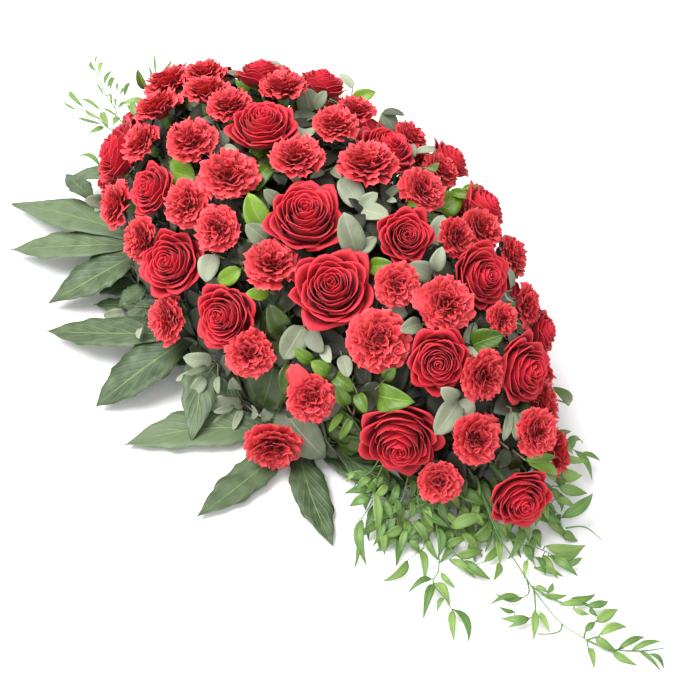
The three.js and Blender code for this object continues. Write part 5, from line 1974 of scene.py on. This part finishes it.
@dataclass
class Foliage:
    """All the leafy sprigs, with leaves that fill the depth between the blooms, drawn dark as painted shade.

    Attributes:
        shop: Turns meshes into pieces.
        bouquet: The blooms.
        layers: How many filling leaves each layer has, its depths, the least and greatest length, and how
        light its leaves are drawn, kept low as painted shade.
        seed: Of the random draws.
        margins: How far from the head and, in all, from both ends they stay.
        arc: The angle round the mound where they begin and how far it goes, in degrees.
        tries: How often a leaf is turned until it is clear of the blooms.
        clear: The distance that is enough.
        press: The least at which a leaf is kept: below zero it lies in a bloom's edge.
    """

    shop: Workshop
    bouquet: Bouquet
    layers: tuple[tuple[int, tuple[int, ...], float, float, float], ...] = (
        (620, (30, 40, 50, 60), 36, 54, 0.1),
        (360, (66, 82), 54, 80, 0.03),
    )
    seed: int = 77
    margins: tuple[float, float] = (22, 118)
    arc: tuple[float, float] = (-8, 196)
    tries: int = 8
    clear: float = 2
    press: float = -4

    def filling(self) -> list[Leaf]:
        """Spreads leaves evenly over the mound, under the blooms.

        Returns:
            The leaves.
        """
        random = Random(self.seed)
        made = []
        for count, depths, short, long, lightness in self.layers:
            for number in range(count):
                along, turned = even(number)
                x = MOUND.head + self.margins[0] + (MOUND.tip - MOUND.head - self.margins[1]) * along
                degrees = self.arc[0] + self.arc[1] * turned
                normal = MOUND.normal(MOUND.around(x, degrees, 20))
                spots = [MOUND.around(x, degrees, depth) for depth in depths]
                base = self.bouquet.clearest(spots, None, 8)
                # How deep the base lies: deeper leaves are drawn darker, as painted shade
                deep = spots.index(base) / len(spots)
                base.z = max(CLEAR, base.z)
                length = random.uniform(short, long)
                tries = []
                for _ in range(self.tries):
                    turn = Quaternion(normal, random.uniform(0, math.tau))
                    across = turn @ normal.cross(Vector((0.3, 0.2, 0.9))).normalized()
                    lift = random.uniform(-0.2, 0.3) if degrees > 110 else random.uniform(-0.3, 0.08)
                    tip = base + across * length + normal * (length * lift)
                    tip.z = max(CLEAR, tip.z)
                    # Painted shade: the leaf is drawn dark, darker the deeper it lies, and lighter on the far
                    # side and near the foot
                    lit = 0.5 if degrees > 110 else 0.2 if degrees < 30 else 0
                    shade = (lightness + lit) * (1 - deep) * random.uniform(0.25, 1.2)
                    leaf = Leaf(base, tip, length * random.uniform(0.46, 0.6), normal, shade)
                    clear = min(bloom.gap(mark) for mark in leaf.marks() for bloom in self.bouquet.blooms)
                    tries.append((min(clear, self.clear), leaf))
                    if clear >= self.clear:
                        break
                clear, leaf = max(tries, key=lambda row: row[0])
                if clear > self.press:
                    made.append(leaf)
        return made

    def build(self) -> None:
        """Builds every sprig, each with the filling leaves that lie nearest to it."""
        kinds = ((Plant.EUCALYPTUS, EUCALYPTUS, FAR_EUCALYPTUS), (Plant.SALAL, SALAL, FAR_SALAL))
        sprigs = []
        for kind, shown, far in kinds:
            maker = LeafySprigs(self.shop, self.bouquet, kind)
            for index, rows in enumerate(zip(shown, far)):
                sprigs.append((maker, maker.clusters(*rows), [], index))
        for leaf in self.filling():
            nearest = min(sprigs, key=lambda sprig: min((leaf.base - c[0].base).length for c in sprig[1]))
            nearest[2].append(leaf)
        for maker, *parts in sprigs:
            maker.build(*parts)


@dataclass
class FatsiaLeaf:
    """A palmate leaf whose toothed lobes droop to the floor round the tray.

    Attributes:
        shop: Turns meshes into pieces.
        petiole: Radius of the stalk.
        thick: Thickness of the blade.
        across: Faces across a lobe.
        along: Faces along it.
        narrow: Half-width of a small lobe, as a share of the width that it shows.
        small_lightness: How light a small lobe is drawn: kept low as painted shade, for these lobes lie under
            the blooms.
        sink: Height of its tip, as a share of that of its base.
        outline: Places along a lobe and its half-width there, as shares of the greatest.
    """

    shop: Workshop
    petiole: float = 2.6
    thick: float = 0.7
    across: int = 6
    along: int = 26
    narrow: float = 0.62
    # Small lobes are drawn dark as painted shade under the blooms
    small_lightness: float = 0.15
    sink: float = 0.7
    outline: tuple[tuple[float, float], ...] = (
        (0, 0.12), (0.1, 0.3), (0.28, 0.66), (0.42, 0.94), (0.5, 1), (0.52, 0.9),
        (0.64, 0.9), (0.74, 0.8), (0.77, 0.66), (0.88, 0.42), (1, 0.01),
    )

    def half(self, share: float) -> float:
        """Finds the half-width of a lobe.

        Args:
            share: The share of the way along it.

        Returns:
            The half-width, as a share of the greatest.
        """
        for (a, low), (b, high) in zip(self.outline, self.outline[1:]):
            if share <= b:
                return low + (high - low) * (share - a) / (b - a)
        return 0.01

    def lobe(
        self, bm: Mesh, base: Vector, tip: Vector, half: float, lightness: float, random: Random, bow: float = 0
    ) -> None:
        """Adds one lobe.

        Args:
            bm: The mesh that it joins.
            base: Where it begins.
            tip: Its end.
            half: Its greatest half-width.
            lightness: From 0 for a dark lobe to 1 for a light one.
            random: Draws for its small differences.
            bow: How far it bows sideways, as a share of its length.
        """
        flat = Vector((tip.x - base.x, tip.y - base.y, 0))
        way = flat.normalized()
        across = Vector((way.y, -way.x, 0))
        drop = tip.z - base.z
        phase = random.uniform(0, math.tau)
        teeth = random.uniform(0.03, 0.06)
        sway = random.uniform(-0.05, 0.05) + bow

        def form(u: float, v: float) -> Vector:
            """Places a point of it.

            Args:
                u: Across, from -1 to 1.
                v: Along, from 0 to 1.

            Returns:
                The place.
            """
            rough = 1 + teeth * math.sin(40 * v + phase) * u * u
            out = -u * self.half(v) * half * rough
            fold = 0.12 * abs(out)
            wave = 1.8 * math.sin(14 * v + phase + 2 * u) * u * u * v
            place = base + flat * v + across * (out + flat.length * sway * 4 * v * (1 - v))
            return place + UP * (drop * v**1.5 + fold + wave)

        add_sheet(bm, self.across, self.along, form, lambda u, v: (v, abs(u), lightness))

    def build(self, root: Point, middle: Point, tips: list[Row], small: list[Row], index: int) -> None:
        """Builds one leaf.

        Args:
            root: Where the stalk leaves the foam.
            middle: The middle of the blade.
            tips: The lobe tips with their half-width as a share of their length, how light each is, and how
            far it bows sideways where it does.
            small: Its smaller lobes, as pixels of base and tip with a height and a width in pixels.
            index: Its number.
        """
        node = f"fatsia_leaf_{index + 1:02d}"
        random = Random(SEEDS[Plant.FATSIA] + index)
        centre = Vector(middle)
        bm = self.shop.begin()
        for x, y, z, share, lightness, *bow in tips:
            tip = Vector((x, y, z))
            self.lobe(bm, centre, tip, (tip.xy - centre.xy).length * share, lightness, random, *bow)
        stalks = self.shop.begin()
        for x0, y0, x1, y1, height, pixels in small:
            base, tip = VIEW.on_level(x0, y0, height), VIEW.on_level(x1, y1, height * self.sink)
            # Small lobes in the shade under the blooms, drawn dark as painted shade
            self.lobe(bm, base, tip, VIEW.width(pixels, base) * self.narrow, self.small_lightness, random)
            add_tube(stalks, [centre, centre.lerp(base, 0.5), base], [self.petiole * 0.6] * 3)
        self.shop.piece(bm, f"{node}_blade", Finish.FATSIA, Plant.FATSIA, node, self.thick)
        foot = Vector(root)
        radii = [self.petiole, self.petiole * 0.9, self.petiole * 0.7]
        add_tube(stalks, [foot, foot.lerp(centre, 0.5), centre], radii)
        self.shop.piece(stalks, f"{node}_stalk", Finish.CALYX, Plant.FATSIA, node)


@dataclass
class RuscusSprig:
    """Long twigs with narrow leaves in two rows, which trail out from under the blooms.

    Attributes:
        shop: Turns meshes into pieces.
        stem: Radius of a stem.
        leaf: Length of a leaf of the far side.
        width: Its width.
        slim: How much narrower a leaf is than the pixels that it covers with its neighbours.
        full: The number of the sprig whose skirt is filled from below.
        dense: How many leaves fill it.
        patch: The pixels where they begin: left, width, top and height.
        source: The pixel that they point away from.
        hem: The pixel row at which the skirt reaches the floor, its height there and how much it rises for
            each row above.
        high: The least height of a stem that grows from the foam, not from another stem.
    """

    shop: Workshop
    stem: float = 1.0
    leaf: float = 40
    width: float = 8.6
    slim: float = 0.88
    full: int = 1
    dense: int = 92
    patch: tuple[float, float, float, float] = (370, 196, 474, 62)
    source: tuple[float, float] = (474, 408)
    hem: Point = (545, 7, 0.6)
    high: float = 22

    def level(self, py: float) -> float:
        """The height of the skirt at a pixel's row: it hangs from the blooms down to the floor."""
        row, height, rise = self.hem
        return height + rise * max(0, row - py)

    def shown_leaf(self, row: Row, joints: list[Vector], random: Random) -> tuple[Leaf, Vector]:
        """Places a leaf that the photograph shows.

        Args:
            row: Pixels of base and tip, the width in pixels, and the height where it isn't the skirt's.
            joints: The points of the sprig's stems.
            random: Draws for its small differences.

        Returns:
            The leaf and the joint that it grows from.
        """
        x0, y0, x1, y1, pixels, *height = row
        base = VIEW.on_level(x0, y0, height[0] if height else self.level(y0))
        low = height[0] if height else max(CLEAR, self.level(y1) + random.uniform(-3, 5))
        tip = VIEW.on_level(x1, y1, low)
        facing = VIEW.back.lerp(UP, 0.3) + VIEW.right * random.uniform(-0.5, 0.5)
        facing += VIEW.up * random.uniform(-0.3, 0.3)
        joint = min(joints, key=lambda place: (place - base).length)
        width = VIEW.width(pixels, base) * self.slim
        return Leaf(base, tip, width, facing, random.uniform(0.6, 1)), joint

    def thicket(self, random: Random) -> list[Leaf]:
        """Places the leaves that fill the skirt from below, pointing away from the blooms.

        Args:
            random: Draws for their small differences.

        Returns:
            The leaves.
        """
        made = []
        left, wide, top, high = self.patch
        for number in range(self.dense):
            right, down = even(number)
            x, y = left + wide * right, top + high * down
            away = Vector((x - self.source[0], y - self.source[1])).normalized()
            turned = away @ Matrix.Rotation(random.uniform(-0.9, 0.9), 2)
            reach = random.uniform(20, 34) * (1 if x < 530 else 0.7)
            low = random.uniform(5, 14)
            base = VIEW.on_level(x, y, max(5, self.level(y) - low))
            end = Vector((x, y)) + turned * reach
            tip = VIEW.on_level(end.x, end.y, max(CLEAR, self.level(end.y) - low))
            facing = VIEW.back.lerp(UP, 0.3) + VIEW.right * random.uniform(-0.5, 0.5)
            width = VIEW.width(random.uniform(7, 10), base)
            made.append(Leaf(base, tip, width, facing, random.uniform(0.5, 0.95)))
        return made

    def far_leaves(self, line: list[Vector], count: int, random: Random) -> list[Leaf]:
        """Places the leaves of a branch of the far side.

        Args:
            line: The branch.
            count: How many leaves.
            random: Draws for their small differences.

        Returns:
            The leaves, in two rows with one at the end.
        """
        made = []
        for number in range(count + 1):
            share = 0.97 if number == count else 0.08 + 0.86 * (number + 0.5) / count
            start = min(len(line) - 2, int(share * (len(line) - 1)))
            base, way = line[start], (line[start + 1] - line[start]).normalized()
            side = UP.cross(way).normalized() * (1 if number % 2 == 0 else -1)
            direction = way if number == count else (way + side * random.uniform(0.65, 0.95)).normalized()
            reach = self.leaf * (1 - 0.25 * share) * random.uniform(0.8, 1.15)
            tip = base + direction * reach
            tip.z = max(CLEAR, tip.z + reach * random.uniform(-0.2, 0.2))
            made.append(Leaf(base, tip, self.width * random.uniform(0.8, 1.15), UP))
        return made

    def build(
        self, foot: Point, stems: list[list[Row]], leaves: list[Row], branches: list[tuple[list[Row], int]],
        index: int,
    ) -> None:
        """Builds one sprig.

        Args:
            foot: Where it stands in the foam.
            stems: Its stems: those that begin low grow from another stem, the others from the foot.
            leaves: Its leaves.
            branches: Its branches on the far side and how many leaves each has.
            index: Its number.
        """
        node = f"ruscus_{index + 1:02d}"
        random = Random(SEEDS[Plant.RUSCUS] + index)
        blades, twigs = self.shop.begin(), self.shop.begin()
        shape = LEAF_FORMS[Plant.RUSCUS]
        start = Vector(foot)
        lines = [[VIEW.on_level(*row) for row in rows] for rows in stems]
        joints = [place for line in lines for place in smooth(line, 6)]
        for number, line in enumerate([*lines, *([Vector(row) for row in rows] for rows, _ in branches)]):
            path = smooth(line, 4)
            if number == 0 or line[0].z > self.high:
                path = smooth([start, start.lerp(line[0], 0.5) + Vector((0, 0, 12)), *line], 4)
            radii = [self.stem * (1.1 - 0.6 * i / (len(path) - 1)) for i in range(len(path))]
            add_tube(twigs, path, radii, 5)
        for row in leaves:
            leaf, joint = self.shown_leaf(row, joints, random)
            leaf.add(blades, shape, random)
            if (joint - leaf.base).length > 1:
                middle = joint.lerp(leaf.base, 0.5) + UP
                add_tube(twigs, [joint, middle, leaf.base], [self.stem * 0.5] * 3, 4)
        if index == self.full:
            for leaf in self.thicket(random):
                leaf.add(blades, shape, random)
        for rows, count in branches:
            for leaf in self.far_leaves(smooth([Vector(row) for row in rows], 12), count, random):
                leaf.add(blades, shape, random)
        self.shop.piece(blades, f"{node}_leaves", Finish.RUSCUS, Plant.RUSCUS, node, shape.thick)
        self.shop.piece(twigs, f"{node}_twigs", Finish.CALYX, Plant.RUSCUS, node)


def smooth(points: list[Vector], steps: int) -> list[Vector]:
    """Draws a rounded path through some points.

    Args:
        points: The points.
        steps: How many steps each leg gets.

    Returns:
        The points of the path.
    """
    made = []
    for index in range(len(points) - 1):
        before = points[max(0, index - 1)]
        start, end = points[index], points[index + 1]
        after = points[min(len(points) - 1, index + 2)]
        for step in range(steps):
            share = step / steps
            turn = (2 * before - 5 * start + 4 * end - after) * share**2
            settle = (3 * start - before - 3 * end + after) * share**3
            made.append(0.5 * (2 * start + (end - before) * share + turn + settle))
    return [*made, points[-1]]


@dataclass
class Studio:
    """The pale floor, the soft light and the camera.

    Attributes:
        shop: Holds the floor's material.
        floor: Half the floor's side, in metres.
        sky: Strength of the light from all round.
        lamps: Name, place and size in metres, and power of each soft lamp.
        middle: The place that they look at.
    """

    shop: Workshop
    floor: float = 6
    sky: float = 0.85
    lamps: tuple[tuple[str, Point, float, float], ...] = (
        ("key", (-0.7, -0.9, 2.3), 2.4, 115),
        ("fill", (1.6, -1.2, 1.6), 2.0, 19),
    )
    middle: Point = (0, 0, 0.12)

    def build(self) -> None:
        """Makes the floor, the lights and the camera."""
        bm = bmesh.new()
        bmesh.ops.create_grid(bm, x_segments=1, y_segments=1, size=self.floor)
        mesh = bpy.data.meshes.new("floor")
        bm.to_mesh(mesh)
        bm.free()
        mesh.materials.append(self.shop.materials[Finish.FLOOR])
        add_object("floor", mesh)
        world = bpy.data.worlds.new("studio")
        world.use_nodes = True
        sky = world.node_tree.nodes["Background"].inputs
        sky["Color"].default_value = (1, 1, 1, 1)
        sky["Strength"].default_value = self.sky
        bpy.context.scene.world = world
        for row in self.lamps:
            self.lamp(*row)
        VIEW.add_camera()
        bpy.context.scene.view_settings.view_transform = "Standard"

    def lamp(self, name: str, place: Point, size: float, power: float) -> None:
        """Adds a soft lamp that looks at the flowers.

        Args:
            name: Its name.
            place: Where it stands, in metres.
            size: Its width, in metres.
            power: Its power.
        """
        data = bpy.data.lights.new(name, "AREA")
        data.shape = "DISK"
        data.size = size
        data.energy = power
        aim(add_object(name, data), Vector(place), Vector(self.middle) - Vector(place))


def dress_solids(shop: Workshop) -> None:
    """Gives the tray and the foam, which stay as solids, their finishes.

    Args:
        shop: Holds the materials.
    """
    for name, finish in (("tray", Finish.TRAY), ("foam", Finish.FOAM)):
        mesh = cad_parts[name].data
        mesh.materials.clear()
        mesh.materials.append(shop.materials[finish])


def rose_foot(node: str, bloom: Bloom) -> Vector:
    """Where a rose's solid stem ends in the foam."""
    return max(corners_of(node), key=lambda place: (place - bloom.base).length)


def main() -> None:
    """Builds every piece in order."""
    logging.basicConfig(level=logging.INFO, format="%(message)s")
    shop = Workshop()
    bouquet = Bouquet()
    dress_solids(shop)
    roses = RoseHead(shop)
    for index, bloom in enumerate(bouquet.roses):
        node = f"rose_{index + 1:02d}"
        roses.build(bloom, node, rose_foot(node, bloom), SEEDS[Plant.ROSE] + index)
    sprays = CarnationSprays(shop)
    for index, names in enumerate(CARNATION_STEMS):
        blooms = [bouquet.carnations[name] for name in names]
        sprays.build(blooms, f"carnation_spray_{index + 1:02d}", SEEDS[Plant.CARNATION] + index)
    Foliage(shop, bouquet).build()
    fatsia = FatsiaLeaf(shop)
    for index, row in enumerate(FATSIA_LEAVES):
        fatsia.build(*row, index)
    ruscus = RuscusSprig(shop)
    for index, row in enumerate(RUSCUS_SPRIGS):
        ruscus.build(*row, index)
    Studio(shop).build()


if __name__ == "__main__":
    main()
